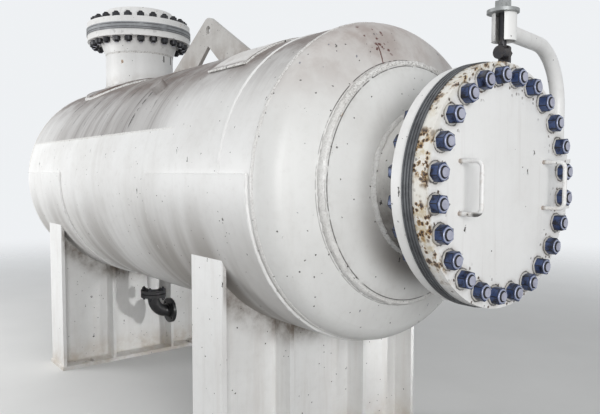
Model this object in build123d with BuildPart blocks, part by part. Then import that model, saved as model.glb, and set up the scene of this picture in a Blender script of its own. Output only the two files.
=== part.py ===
from build123d import *
import math
import os

# A horizontal pressure vessel on two saddles. A bolted blind cover closes the opening in its front
# head, and a davit beside it can carry the cover away once it is unbolted.
# The origin is on the floor at the middle of the front saddle's base. X runs along the vessel
# towards the cover and Z is up. All sizes are in millimetres, and heights that are called rises
# are measured from the vessel's axis.

os.makedirs("parts", exist_ok=True)

# Shell and heads
axis_height = 1415.0
shell_outer_radius = 711.0
shell_wall = 22.0
shell_length = 3090.0
front_course_length = 250.0
rear_course_length = 1120.0
head_knuckle_radius = 100.0
head_wall = 22.0

# Saddles
front_saddle_inset = 470.0
rear_saddle_inset = 400.0
saddle_side_inset = 71.0
saddle_plate_width = 270.0
saddle_plate = 24.0
rib_offset = 246.0
base_plate = 25.0
base_margin = 10.0
wear_plate = 12.0
wear_tangent_gap = 30.0
front_wear_width = 928.0
wear_beyond_drain = 73.0
wear_rise = 40.0
anchor_hole_radius = 17.0
anchor_slot_length = 84.0
anchor_x = 75.0
anchor_y = 420.0

# Front closure
closure_reach = 630.0
closure_pad_radius = 507.5
closure_pad_plate = 22.0
closure_neck_radius = 305.0
closure_neck_wall = 25.0
flange_radius = 457.5
flange_thickness = 68.3
flange_gap = 9.4
flange_bolt_inset = 51.1
flange_bolt_count = 24
flange_hole_radius = 20.6
flange_hub_swell = 46.0
flange_hub_length = 100.0
raised_face_inset = 111.5
raised_face_height = 2.4
gasket_width = 46.0

# Ribbed bands that close the gaps between flanges
band_thickness = 3.0
band_rib_height = 2.5
band_rib_width = 6.0
band_rib_count = 4
closure_band_width = 44.0
nozzle_band_width = 50.0

# Handles on the cover
handle_rim_distance = 187.5
handle_half_height = 91.0
handle_height = 90.0
handle_bar_radius = 8.0
handle_corner = 24.0

# Davit
davit_post_setback = 112.0
davit_post_clearance = 115.0
davit_arm_clearance = 118.5
davit_bend_radius = 250.0
davit_pipe_radius = 30.15
davit_pipe_wall = 5.5
socket_radius = 44.45
socket_clearance = 0.5
socket_half_length = 150.0
socket_floor = 12.0
bracket_rise = 100.0
bracket_plate = 16.0
bracket_margin = 14.0
bracket_band_clearance = 3.0
screw_setback = 20.0
screw_radius = 15.0
screw_top_clearance = 248.5
sleeve_radius = 44.45
sleeve_wall = 6.0
sleeve_length = 101.0
sleeve_top_above_arm = 61.0
sleeve_slot_width = 36.0
sleeve_offset = 12.0
disc_radius = 58.0
disc_thickness = 12.0
hand_nut_width = 55.0
hand_nut_height = 32.0
eye_clearance = 36.5
eye_radius = 24.0
eye_width = 22.0
pin_radius = 9.0
pin_head_radius = 24.5
pin_head_width = 12.0
pin_nut_width = 30.0
pin_nut_height = 14.0
lifting_plate = 16.0
lifting_plate_width = 48.0
lifting_plate_height = 66.5

# Top nozzle
nozzle_inset = 516.0
nozzle_neck_radius = 254.0
nozzle_neck_wall = 15.0
nozzle_pad_radius = 400.0
nozzle_pad_plate = 22.0
nozzle_reach = 459.0
nozzle_flange_radius = 387.5
nozzle_flange_thickness = 63.5
nozzle_flange_gap = 9.0
nozzle_bolt_inset = 44.6
nozzle_bolt_count = 24
nozzle_hole_radius = 17.5
nozzle_hub_swell = 38.0
nozzle_hub_length = 95.0
nozzle_face_inset = 95.5
nozzle_gasket_width = 28.0

# Lifting lug, doubler plate and boss on the shell
lug_shift = 40.0
lug_base_length = 1014.0
lug_tip_radius = 76.0
lug_hole_height = 246.0
lug_hole_radius = 25.0
lug_window_half = 175.0
lug_window_height = 144.0
lug_plate = 25.0
doubler_inset = 411.0
doubler_length = 316.0
doubler_half_angle = 40.0
doubler_plate = 10.0
boss_inset = 1207.0
boss_angle = 44.0
boss_radius = 45.0
boss_height = 40.0

# Drain
drain_offset = 307.0
drain_pipe_radius = 44.45
drain_pipe_wall = 7.6
drain_reach = 151.0
drain_flange_radius = 95.25
drain_flange_thickness = 23.9
drain_flange_gap = 6.2
drain_bolt_inset = 19.05
drain_bolt_count = 4
drain_hole_radius = 9.5
drain_hub_swell = 9.55
drain_hub_length = 10.0
drain_face_inset = 31.75
drain_gasket_width = 16.0
drain_face_height = 1.6
drain_elbow_radius = 114.3

# Places that follow from the sizes
shell_inner_radius = shell_outer_radius - shell_wall
head_crown_radius = 2 * shell_inner_radius
wear_radius = shell_outer_radius + wear_plate
front_tangent_x = front_saddle_inset
rear_tangent_x = front_tangent_x - shell_length
middle_course_length = shell_length - front_course_length - rear_course_length
rear_saddle_x = rear_tangent_x + rear_saddle_inset
top_nozzle_x = rear_tangent_x + nozzle_inset
drain_x = rear_saddle_x + drain_offset
cover_face_x = front_tangent_x + closure_reach
cover_back_x = cover_face_x - flange_thickness
neck_rim_x = cover_back_x - flange_gap
neck_back_x = neck_rim_x - flange_thickness
hub_start_x = neck_back_x - flange_hub_length
joint_middle_x = cover_back_x - flange_gap / 2
flange_bolt_circle_radius = flange_radius - flange_bolt_inset
flange_hub_radius = closure_neck_radius + flange_hub_swell
raised_face_radius = flange_radius - raised_face_inset
handle_y = flange_radius - handle_rim_distance
davit_post_x = cover_face_x - davit_post_setback
davit_post_y = flange_radius + davit_post_clearance
davit_arm_rise = flange_radius + davit_arm_clearance
screw_x = cover_face_x - screw_setback
screw_top_rise = flange_radius + screw_top_clearance
sleeve_top_rise = davit_arm_rise + sleeve_top_above_arm
sleeve_bottom_rise = sleeve_top_rise - sleeve_length
eye_rise = flange_radius + eye_clearance
lifting_plate_rise = flange_radius + lifting_plate_height
nozzle_top_rise = shell_outer_radius + nozzle_reach
nozzle_joint_rise = nozzle_top_rise - nozzle_flange_thickness - nozzle_flange_gap / 2
nozzle_rim_rise = nozzle_joint_rise - nozzle_flange_gap / 2
nozzle_hub_rise = nozzle_rim_rise - nozzle_flange_thickness - nozzle_hub_length
nozzle_bolt_circle_radius = nozzle_flange_radius - nozzle_bolt_inset
nozzle_hub_radius = nozzle_neck_radius + nozzle_hub_swell
nozzle_face_radius = nozzle_flange_radius - nozzle_face_inset
drain_flange_rise = -shell_outer_radius - drain_reach
drain_bolt_circle_radius = drain_flange_radius - drain_bolt_inset
drain_hub_radius = drain_pipe_radius + drain_hub_swell
drain_face_radius = drain_flange_radius - drain_face_inset
lug_x = (front_tangent_x + rear_tangent_x) / 2 + lug_shift
lug_hole_rise = shell_outer_radius + lug_hole_height
lug_window_rise = shell_outer_radius + lug_window_height
doubler_front_x = front_tangent_x - doubler_inset
boss_x = front_tangent_x - boss_inset
closure_band_radius = flange_radius + band_thickness + band_rib_height
saddle_half_width = shell_outer_radius - saddle_side_inset
saddle_places = {"front": 0.0, "rear": rear_saddle_x}
rear_wear_width = drain_x + wear_beyond_drain - rear_tangent_x - wear_tangent_gap
wear_spans = {
    "front": (front_tangent_x - wear_tangent_gap - front_wear_width, front_wear_width),
    "rear": (rear_tangent_x + wear_tangent_gap, rear_wear_width),
}
shell_spans = {
    "rear": (rear_tangent_x, rear_course_length),
    "middle": (rear_tangent_x + rear_course_length, middle_course_length),
    "front": (front_tangent_x - front_course_length, front_course_length),
}
vessel_axis = Axis((0, 0, axis_height), (1, 0, 0))


def across(x):
    """Returns a plane across the vessel at x. Its own X is the row's Y, and its own Y is up."""
    return Plane(origin=(x, 0, axis_height), x_dir=(0, 1, 0), z_dir=(1, 0, 0))


def level(rise):
    """Returns a level plane at a rise above the vessel's axis."""
    return Plane.XY.offset(axis_height + rise)


def rise_on(radius, distance):
    """Returns the height of a circle's edge above its centre line, at a distance to the side."""
    return math.sqrt(radius**2 - distance**2)


def dished_plate(inner_offset, outer_offset):
    """Makes a dished plate about the X axis with its tangent line at x = 0.

    The two offsets say how far its faces lie outside the inner face of the vessel's heads.
    """
    centre_drop = math.sqrt(
        (head_crown_radius - head_knuckle_radius) ** 2 - (shell_inner_radius - head_knuckle_radius) ** 2
    )
    knuckle_y = shell_inner_radius - head_knuckle_radius
    join_angle = math.atan2(knuckle_y, centre_drop)
    corner_angle = (join_angle + math.pi / 2) / 2
    ends = []
    with BuildPart() as dish:
        with BuildSketch(Plane.XY):
            with BuildLine():
                for offset in (inner_offset, outer_offset):
                    crown = head_crown_radius + offset
                    knuckle = head_knuckle_radius + offset
                    top = (crown - centre_drop, 0)
                    middle = (
                        crown * math.cos(join_angle / 2) - centre_drop,
                        crown * math.sin(join_angle / 2),
                    )
                    join = (crown * math.cos(join_angle) - centre_drop, crown * math.sin(join_angle))
                    corner = (
                        knuckle * math.cos(corner_angle),
                        knuckle_y + knuckle * math.sin(corner_angle),
                    )
                    rim = (0, knuckle_y + knuckle)
                    ThreePointArc(top, middle, join)
                    ThreePointArc(join, corner, rim)
                    ends.append((top, rim))
                Line(ends[0][0], ends[1][0])
                Line(ends[0][1], ends[1][1])
            make_face()
        revolve(axis=Axis.X)
    return dish.part


def turned_flange(bore, neck, hub, hub_length, radius, thickness, face, face_height):
    """Makes a flange with its hub about the Z axis.

    The rim ends at z = 0, the raised face stands above it and the hub points down.
    """
    with BuildPart() as flange:
        with BuildSketch(Plane.XZ):
            with BuildLine():
                Polyline(
                    (bore, -thickness - hub_length),
                    (neck, -thickness - hub_length),
                    (hub, -thickness),
                    (radius, -thickness),
                    (radius, 0),
                    (face, 0),
                    (face, face_height),
                    (bore, face_height),
                    close=True,
                )
            make_face()
        revolve(axis=Axis.Z)
    return flange.part


def band_profile(width):
    """Draws a band's section: a flat strip with raised ribs, and its inner side on the X axis."""
    pitch = (width - band_rib_width) / (band_rib_count - 1)
    Rectangle(width, band_thickness, align=(Align.CENTER, Align.MIN))
    with Locations((0, band_thickness)):
        with GridLocations(pitch, 0, band_rib_count, 1):
            Rectangle(band_rib_width, band_rib_height, align=(Align.CENTER, Align.MIN))


# Rolled shell in three courses, with holes for the top nozzle and the drain
for course, (course_start, course_length) in shell_spans.items():
    with BuildPart() as shell_course:
        with BuildSketch(across(course_start)):
            Circle(shell_outer_radius)
            Circle(shell_inner_radius, mode=Mode.SUBTRACT)
        extrude(amount=course_length)
        with BuildSketch(level(0)):
            with Locations((top_nozzle_x, 0)):
                Circle(nozzle_neck_radius)
        extrude(amount=2 * shell_outer_radius, mode=Mode.SUBTRACT)
        with BuildSketch(level(0)):
            with Locations((drain_x, 0)):
                Circle(drain_pipe_radius)
        extrude(amount=-2 * shell_outer_radius, mode=Mode.SUBTRACT)
    shell_course.part.label = course + "_shell_course"
    export_step(shell_course.part, "parts/" + course + "_shell_course.step")

# Dished heads; the front one has the closure's opening
head_plate = dished_plate(0, head_wall)
with BuildPart() as front_head:
    add(head_plate.moved(Location((front_tangent_x, 0, axis_height))))
    with BuildSketch(across(front_tangent_x)):
        Circle(closure_neck_radius)
    extrude(amount=closure_reach, mode=Mode.SUBTRACT)
front_head.part.label = "front_head"
export_step(front_head.part, "parts/front_head.step")

with BuildPart() as rear_head:
    add(head_plate.moved(Location((rear_tangent_x, 0, axis_height), (0, 0, 180))))
rear_head.part.label = "rear_head"
export_step(rear_head.part, "parts/rear_head.step")

# Reinforcing ring that lies on the front head around the closure's neck
pad_plate = dished_plate(head_wall, head_wall + closure_pad_plate)
with BuildPart() as closure_pad:
    add(pad_plate.moved(Location((front_tangent_x, 0, axis_height))))
    with BuildSketch(across(front_tangent_x)):
        Circle(closure_pad_radius)
        Circle(closure_neck_radius, mode=Mode.SUBTRACT)
    extrude(amount=closure_reach, mode=Mode.INTERSECT)
closure_pad.part.label = "closure_pad"
export_step(closure_pad.part, "parts/closure_pad.step")

# Neck of the closure; it passes through the head and starts at the head's inner face
neck_inner_radius = closure_neck_radius - closure_neck_wall
crown_centre_x = front_tangent_x - math.sqrt(
    (head_crown_radius - head_knuckle_radius) ** 2 - (shell_inner_radius - head_knuckle_radius) ** 2
)
neck_root_x = crown_centre_x + rise_on(head_crown_radius, closure_neck_radius)
with BuildPart() as closure_neck:
    with BuildSketch(across(neck_root_x)):
        Circle(closure_neck_radius)
        Circle(neck_inner_radius, mode=Mode.SUBTRACT)
    extrude(amount=hub_start_x - neck_root_x)
closure_neck.part.label = "closure_neck"
export_step(closure_neck.part, "parts/closure_neck.step")

# Weld neck flange of the closure, turned in one piece with its hub
closure_flange = turned_flange(
    neck_inner_radius,
    closure_neck_radius,
    flange_hub_radius,
    flange_hub_length,
    flange_radius,
    flange_thickness,
    raised_face_radius,
    raised_face_height,
)
with BuildPart() as neck_flange:
    add(closure_flange.moved(Location((neck_rim_x, 0, axis_height), (0, 90, 0))))
    with BuildSketch(across(neck_back_x)):
        with PolarLocations(flange_bolt_circle_radius, flange_bolt_count, start_angle=180 / flange_bolt_count):
            Circle(flange_hole_radius)
    extrude(amount=flange_thickness, mode=Mode.SUBTRACT)
neck_flange.part.label = "neck_flange"
export_step(neck_flange.part, "parts/neck_flange.step")

# Gasket between the closure's two raised faces
with BuildPart() as closure_gasket:
    with BuildSketch(across(neck_rim_x + raised_face_height)):
        Circle(raised_face_radius)
        Circle(raised_face_radius - gasket_width, mode=Mode.SUBTRACT)
    extrude(amount=flange_gap - 2 * raised_face_height)
closure_gasket.part.label = "closure_gasket"
export_step(closure_gasket.part, "parts/closure_gasket.step")

# Blind cover with its raised face and bolt holes
with BuildPart() as cover:
    with BuildSketch(across(cover_back_x)):
        Circle(flange_radius)
    extrude(amount=flange_thickness)
    with BuildSketch(across(cover_back_x)):
        Circle(raised_face_radius)
    extrude(amount=-raised_face_height)
    with BuildSketch(across(cover_back_x)):
        with PolarLocations(flange_bolt_circle_radius, flange_bolt_count, start_angle=180 / flange_bolt_count):
            Circle(flange_hole_radius)
    extrude(amount=flange_thickness, mode=Mode.SUBTRACT)
cover.part.label = "cover"
export_step(cover.part, "parts/cover.step")

# Ribbed band around the closure's joint; it rests on the rims of both flanges
with BuildPart() as closure_band:
    with BuildSketch(
        Plane(
            origin=(joint_middle_x, 0, axis_height + flange_radius),
            x_dir=(1, 0, 0),
            z_dir=(0, -1, 0),
        )
    ):
        band_profile(closure_band_width)
    revolve(axis=vessel_axis)
closure_band.part.label = "closure_band"
export_step(closure_band.part, "parts/closure_band.step")

# Two U handles on the cover's face
with BuildPart() as cover_handles:
    for side in (-1, 1):
        with BuildLine(
            Plane(
                origin=(cover_face_x, side * handle_y, axis_height),
                x_dir=(0, 0, 1),
                z_dir=(0, 1, 0),
            )
        ) as handle_path:
            FilletPolyline(
                (-handle_half_height, 0),
                (-handle_half_height, handle_height),
                (handle_half_height, handle_height),
                (handle_half_height, 0),
                radius=handle_corner,
            )
        with BuildSketch(Plane(origin=handle_path.line @ 0, z_dir=handle_path.line % 0)):
            Circle(handle_bar_radius)
        sweep(path=handle_path.line)
cover_handles.part.label = "cover_handles"
export_step(cover_handles.part, "parts/cover_handles.step")

# Plate on top of the cover's rim, where the davit's screw is pinned on
with BuildPart() as cover_lifting_lug:
    with BuildSketch(Plane.XZ.offset(-eye_width / 2)):
        with Locations((screw_x, axis_height + lifting_plate_rise - lifting_plate_width / 2)):
            Circle(lifting_plate_width / 2)
            Rectangle(lifting_plate_width, lifting_plate_rise, align=(Align.CENTER, Align.MAX))
        with Locations((screw_x, axis_height + eye_rise)):
            Circle(pin_radius, mode=Mode.SUBTRACT)
    extrude(amount=-lifting_plate)
    with BuildSketch(across(cover_back_x)):
        Circle(flange_radius)
    extrude(amount=2 * flange_thickness, mode=Mode.SUBTRACT)
    with BuildSketch(level(0)):
        with Locations((cover_face_x, 0)):
            Rectangle(2 * flange_radius, 2 * flange_radius, align=(Align.MIN, Align.CENTER))
    extrude(amount=2 * flange_radius, mode=Mode.SUBTRACT)
cover_lifting_lug.part.label = "cover_lifting_lug"
export_step(cover_lifting_lug.part, "parts/cover_lifting_lug.step")

# Two plates that hold the davit's socket on the rim of the neck flange
with BuildPart() as davit_brackets:
    for rise in (-bracket_rise, bracket_rise):
        with BuildSketch(level(rise - bracket_plate / 2)):
            with Locations((davit_post_x, davit_post_y)):
                Circle(socket_radius + bracket_margin)
                Rectangle(
                    2 * (socket_radius + bracket_margin),
                    davit_post_y,
                    align=(Align.CENTER, Align.MAX),
                )
                Circle(socket_radius, mode=Mode.SUBTRACT)
        extrude(amount=bracket_plate)
    with BuildSketch(across(neck_back_x - flange_hub_length)):
        Circle(flange_radius)
    extrude(amount=closure_reach, mode=Mode.SUBTRACT)
    with BuildSketch(across(joint_middle_x - closure_band_width / 2 - bracket_band_clearance)):
        Circle(closure_band_radius + bracket_band_clearance)
    extrude(amount=closure_reach, mode=Mode.SUBTRACT)
davit_brackets.part.label = "davit_brackets"
export_step(davit_brackets.part, "parts/davit_brackets.step")

# Socket that the davit's post stands in, with a floor
with BuildPart() as davit_socket:
    with BuildSketch(level(-socket_half_length)):
        with Locations((davit_post_x, davit_post_y)):
            Circle(socket_radius)
    extrude(amount=2 * socket_half_length)
    with BuildSketch(level(-socket_half_length + socket_floor)):
        with Locations((davit_post_x, davit_post_y)):
            Circle(davit_pipe_radius + socket_clearance)
    extrude(amount=2 * socket_half_length, mode=Mode.SUBTRACT)
davit_socket.part.label = "davit_socket"
export_step(davit_socket.part, "parts/davit_socket.step")

# Post and arm of the davit, bent from one pipe; the arm ends on the sleeve around the screw.
# The sleeve stands a little nearer to the post than the screw does.
arm_run = math.hypot(screw_x - davit_post_x, davit_post_y)
arm_direction = Vector((screw_x - davit_post_x) / arm_run, -davit_post_y / arm_run, 0)
arm_plane = Plane(
    origin=(davit_post_x, davit_post_y, axis_height),
    x_dir=arm_direction,
    z_dir=arm_direction.cross(Vector(0, 0, 1)),
)
sleeve_x = screw_x - sleeve_offset * arm_direction.X
sleeve_y = -sleeve_offset * arm_direction.Y
with BuildPart() as davit_arm:
    with BuildLine(arm_plane) as arm_path:
        FilletPolyline(
            (0, socket_floor - socket_half_length),
            (0, davit_arm_rise),
            (arm_run, davit_arm_rise),
            radius=davit_bend_radius,
        )
    with BuildSketch(Plane(origin=arm_path.line @ 0, z_dir=arm_path.line % 0)):
        Circle(davit_pipe_radius)
        Circle(davit_pipe_radius - davit_pipe_wall, mode=Mode.SUBTRACT)
    sweep(path=arm_path.line)
    with BuildSketch(level(sleeve_bottom_rise)):
        with Locations((sleeve_x, sleeve_y)):
            Circle(sleeve_radius)
    extrude(amount=sleeve_top_rise - sleeve_bottom_rise, mode=Mode.SUBTRACT)
davit_arm.part.label = "davit_arm"
export_step(davit_arm.part, "parts/davit_arm.step")

# Sleeve around the screw, slotted on the side away from the arm
with BuildPart() as davit_sleeve:
    with BuildSketch(level(sleeve_bottom_rise)):
        with Locations(Location((sleeve_x, sleeve_y), math.degrees(math.atan2(arm_direction.Y, arm_direction.X)))):
            Circle(sleeve_radius)
            Circle(sleeve_radius - sleeve_wall, mode=Mode.SUBTRACT)
            Rectangle(
                2 * sleeve_radius,
                sleeve_slot_width,
                align=(Align.MIN, Align.CENTER),
                mode=Mode.SUBTRACT,
            )
    extrude(amount=sleeve_top_rise - sleeve_bottom_rise)
davit_sleeve.part.label = "davit_sleeve"
export_step(davit_sleeve.part, "parts/davit_sleeve.step")

# Lifting screw with the eye at its lower end
with BuildPart() as davit_screw:
    with BuildSketch(Plane.XZ.offset(-eye_width / 2)):
        with Locations((screw_x, axis_height + eye_rise)):
            Circle(eye_radius)
    extrude(amount=eye_width)
    with BuildSketch(level(eye_rise)):
        with Locations((screw_x, 0)):
            Circle(screw_radius)
    extrude(amount=screw_top_rise - eye_rise)
    with BuildSketch(Plane.XZ.offset(-screw_radius)):
        with Locations((screw_x, axis_height + eye_rise)):
            Circle(pin_radius)
    extrude(amount=2 * screw_radius, mode=Mode.SUBTRACT)
    with BuildSketch(level(0)):
        with Locations((screw_x, eye_width / 2)):
            Rectangle(2 * eye_radius, eye_radius, align=(Align.CENTER, Align.MIN))
        with Locations((screw_x, -eye_width / 2)):
            Rectangle(2 * eye_radius, eye_radius, align=(Align.CENTER, Align.MAX))
    extrude(amount=lifting_plate_rise, mode=Mode.SUBTRACT)
davit_screw.part.label = "davit_screw"
export_step(davit_screw.part, "parts/davit_screw.step")

# Round hand disc and hexagon nut on the screw; the disc rests on the sleeve
with BuildPart() as davit_hand_disc:
    with BuildSketch(level(sleeve_top_rise)):
        with Locations((screw_x, 0)):
            Circle(disc_radius)
    extrude(amount=disc_thickness)
    with BuildSketch(level(sleeve_top_rise + disc_thickness)):
        with Locations((screw_x, 0)):
            RegularPolygon(hand_nut_width / 2, 6, major_radius=False)
    extrude(amount=hand_nut_height)
    with BuildSketch(level(sleeve_top_rise)):
        with Locations((screw_x, 0)):
            Circle(screw_radius)
    extrude(amount=disc_thickness + hand_nut_height, mode=Mode.SUBTRACT)
davit_hand_disc.part.label = "davit_hand_disc"
export_step(davit_hand_disc.part, "parts/davit_hand_disc.step")

# Pin through the screw's eye and the cover's plate, with a round head and a nut
with BuildPart() as davit_pin:
    with BuildSketch(Plane.XZ.offset(eye_width / 2)):
        with Locations((screw_x, axis_height + eye_rise)):
            Circle(pin_head_radius)
    extrude(amount=pin_head_width)
    with BuildSketch(Plane.XZ.offset(eye_width / 2)):
        with Locations((screw_x, axis_height + eye_rise)):
            Circle(pin_radius)
    extrude(amount=-eye_width - lifting_plate)
    with BuildSketch(Plane.XZ.offset(-eye_width / 2 - lifting_plate)):
        with Locations((screw_x, axis_height + eye_rise)):
            RegularPolygon(pin_nut_width / 2, 6, major_radius=False)
    extrude(amount=-pin_nut_height)
davit_pin.part.label = "davit_pin"
export_step(davit_pin.part, "parts/davit_pin.step")

# Reinforcing pad rolled to the shell around the top nozzle
with BuildPart() as nozzle_pad:
    with BuildSketch(across(rear_tangent_x)):
        Circle(shell_outer_radius + nozzle_pad_plate)
        Circle(shell_outer_radius, mode=Mode.SUBTRACT)
    extrude(amount=shell_length)
    with BuildSketch(level(0)):
        with Locations((top_nozzle_x, 0)):
            Circle(nozzle_pad_radius)
            Circle(nozzle_neck_radius, mode=Mode.SUBTRACT)
    extrude(amount=2 * shell_outer_radius, mode=Mode.INTERSECT)
nozzle_pad.part.label = "nozzle_pad"
export_step(nozzle_pad.part, "parts/nozzle_pad.step")

# Neck of the top nozzle; it passes through the shell and ends inside
nozzle_root_rise = rise_on(shell_inner_radius, nozzle_neck_radius)
with BuildPart() as nozzle_neck:
    with BuildSketch(level(nozzle_root_rise)):
        with Locations((top_nozzle_x, 0)):
            Circle(nozzle_neck_radius)
            Circle(nozzle_neck_radius - nozzle_neck_wall, mode=Mode.SUBTRACT)
    extrude(amount=nozzle_hub_rise - nozzle_root_rise)
nozzle_neck.part.label = "nozzle_neck"
export_step(nozzle_neck.part, "parts/nozzle_neck.step")

# Flange on the top nozzle and the mating flange that is bolted on it
nozzle_ring = turned_flange(
    nozzle_neck_radius - nozzle_neck_wall,
    nozzle_neck_radius,
    nozzle_hub_radius,
    nozzle_hub_length,
    nozzle_flange_radius,
    nozzle_flange_thickness,
    nozzle_face_radius,
    raised_face_height,
)
with BuildPart() as nozzle_flange:
    add(nozzle_ring.moved(Location((top_nozzle_x, 0, axis_height + nozzle_rim_rise))))
    with BuildSketch(level(nozzle_rim_rise - nozzle_flange_thickness)):
        with Locations((top_nozzle_x, 0)):
            with PolarLocations(nozzle_bolt_circle_radius, nozzle_bolt_count, start_angle=180 / nozzle_bolt_count):
                Circle(nozzle_hole_radius)
    extrude(amount=nozzle_flange_thickness, mode=Mode.SUBTRACT)
nozzle_flange.part.label = "nozzle_flange"
export_step(nozzle_flange.part, "parts/nozzle_flange.step")

mating_rim_rise = nozzle_rim_rise + nozzle_flange_gap
with BuildPart() as nozzle_mating_flange:
    add(nozzle_ring.moved(Location((top_nozzle_x, 0, axis_height + mating_rim_rise), (180, 0, 0))))
    with BuildSketch(level(mating_rim_rise)):
        with Locations((top_nozzle_x, 0)):
            with PolarLocations(nozzle_bolt_circle_radius, nozzle_bolt_count, start_angle=180 / nozzle_bolt_count):
                Circle(nozzle_hole_radius)
    extrude(amount=nozzle_flange_thickness, mode=Mode.SUBTRACT)
nozzle_mating_flange.part.label = "nozzle_mating_flange"
export_step(nozzle_mating_flange.part, "parts/nozzle_mating_flange.step")

# Gasket of the top nozzle's joint
with BuildPart() as nozzle_gasket:
    with BuildSketch(level(nozzle_rim_rise + raised_face_height)):
        with Locations((top_nozzle_x, 0)):
            Circle(nozzle_face_radius)
            Circle(nozzle_face_radius - nozzle_gasket_width, mode=Mode.SUBTRACT)
    extrude(amount=nozzle_flange_gap - 2 * raised_face_height)
nozzle_gasket.part.label = "nozzle_gasket"
export_step(nozzle_gasket.part, "parts/nozzle_gasket.step")

# Ribbed band around the top nozzle's joint
with BuildPart() as nozzle_band:
    with BuildSketch(
        Plane(
            origin=(top_nozzle_x + nozzle_flange_radius, 0, axis_height + nozzle_joint_rise),
            x_dir=(0, 0, 1),
            z_dir=(0, 1, 0),
        )
    ):
        band_profile(nozzle_band_width)
    revolve(axis=Axis((top_nozzle_x, 0, 0), (0, 0, 1)))
nozzle_band.part.label = "nozzle_band"
export_step(nozzle_band.part, "parts/nozzle_band.step")

# Lifting lug: one upright plate with two legs and a hole at its tip
with BuildPart() as lifting_lug:
    with BuildSketch(Plane.XZ.offset(-lug_plate / 2)):
        with Locations((lug_x, axis_height + lug_hole_rise)):
            Circle(lug_tip_radius)
        with Locations((lug_x, axis_height + shell_outer_radius)):
            Rectangle(lug_base_length, 2 * shell_wall)
        make_hull()
        with BuildLine():
            Polyline(
                (lug_x - lug_window_half, axis_height + shell_inner_radius),
                (lug_x - lug_window_half, axis_height + shell_outer_radius),
                (lug_x, axis_height + lug_window_rise),
                (lug_x + lug_window_half, axis_height + shell_outer_radius),
                (lug_x + lug_window_half, axis_height + shell_inner_radius),
                close=True,
            )
        make_face(mode=Mode.SUBTRACT)
        with Locations((lug_x, axis_height + lug_hole_rise)):
            Circle(lug_hole_radius, mode=Mode.SUBTRACT)
    extrude(amount=lug_plate)
    with BuildSketch(across(rear_tangent_x)):
        Circle(shell_outer_radius)
    extrude(amount=shell_length, mode=Mode.SUBTRACT)
lifting_lug.part.label = "lifting_lug"
export_step(lifting_lug.part, "parts/lifting_lug.step")

# Doubler plate on top of the shell
wedge = 2 * shell_outer_radius
doubler_turn = math.radians(doubler_half_angle)
with BuildPart() as top_doubler:
    with BuildSketch(across(doubler_front_x - doubler_length)):
        Circle(shell_outer_radius + doubler_plate)
        Circle(shell_outer_radius, mode=Mode.SUBTRACT)
        with BuildLine():
            Polyline(
                (0, 0),
                (wedge * math.sin(doubler_turn), wedge * math.cos(doubler_turn)),
                (-wedge * math.sin(doubler_turn), wedge * math.cos(doubler_turn)),
                close=True,
            )
        make_face(mode=Mode.INTERSECT)
    extrude(amount=doubler_length)
top_doubler.part.label = "top_doubler"
export_step(top_doubler.part, "parts/top_doubler.step")

# Small closed boss on the shell's near side
boss_turn = math.radians(boss_angle)
with BuildPart() as shell_boss:
    with BuildSketch(
        Plane(
            origin=(boss_x, 0, axis_height),
            x_dir=(1, 0, 0),
            z_dir=(0, -math.sin(boss_turn), math.cos(boss_turn)),
        )
    ):
        Circle(boss_radius)
    extrude(amount=shell_outer_radius + boss_height)
    with BuildSketch(across(rear_tangent_x)):
        Circle(shell_outer_radius)
    extrude(amount=shell_length, mode=Mode.SUBTRACT)
shell_boss.part.label = "shell_boss"
export_step(shell_boss.part, "parts/shell_boss.step")

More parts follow.
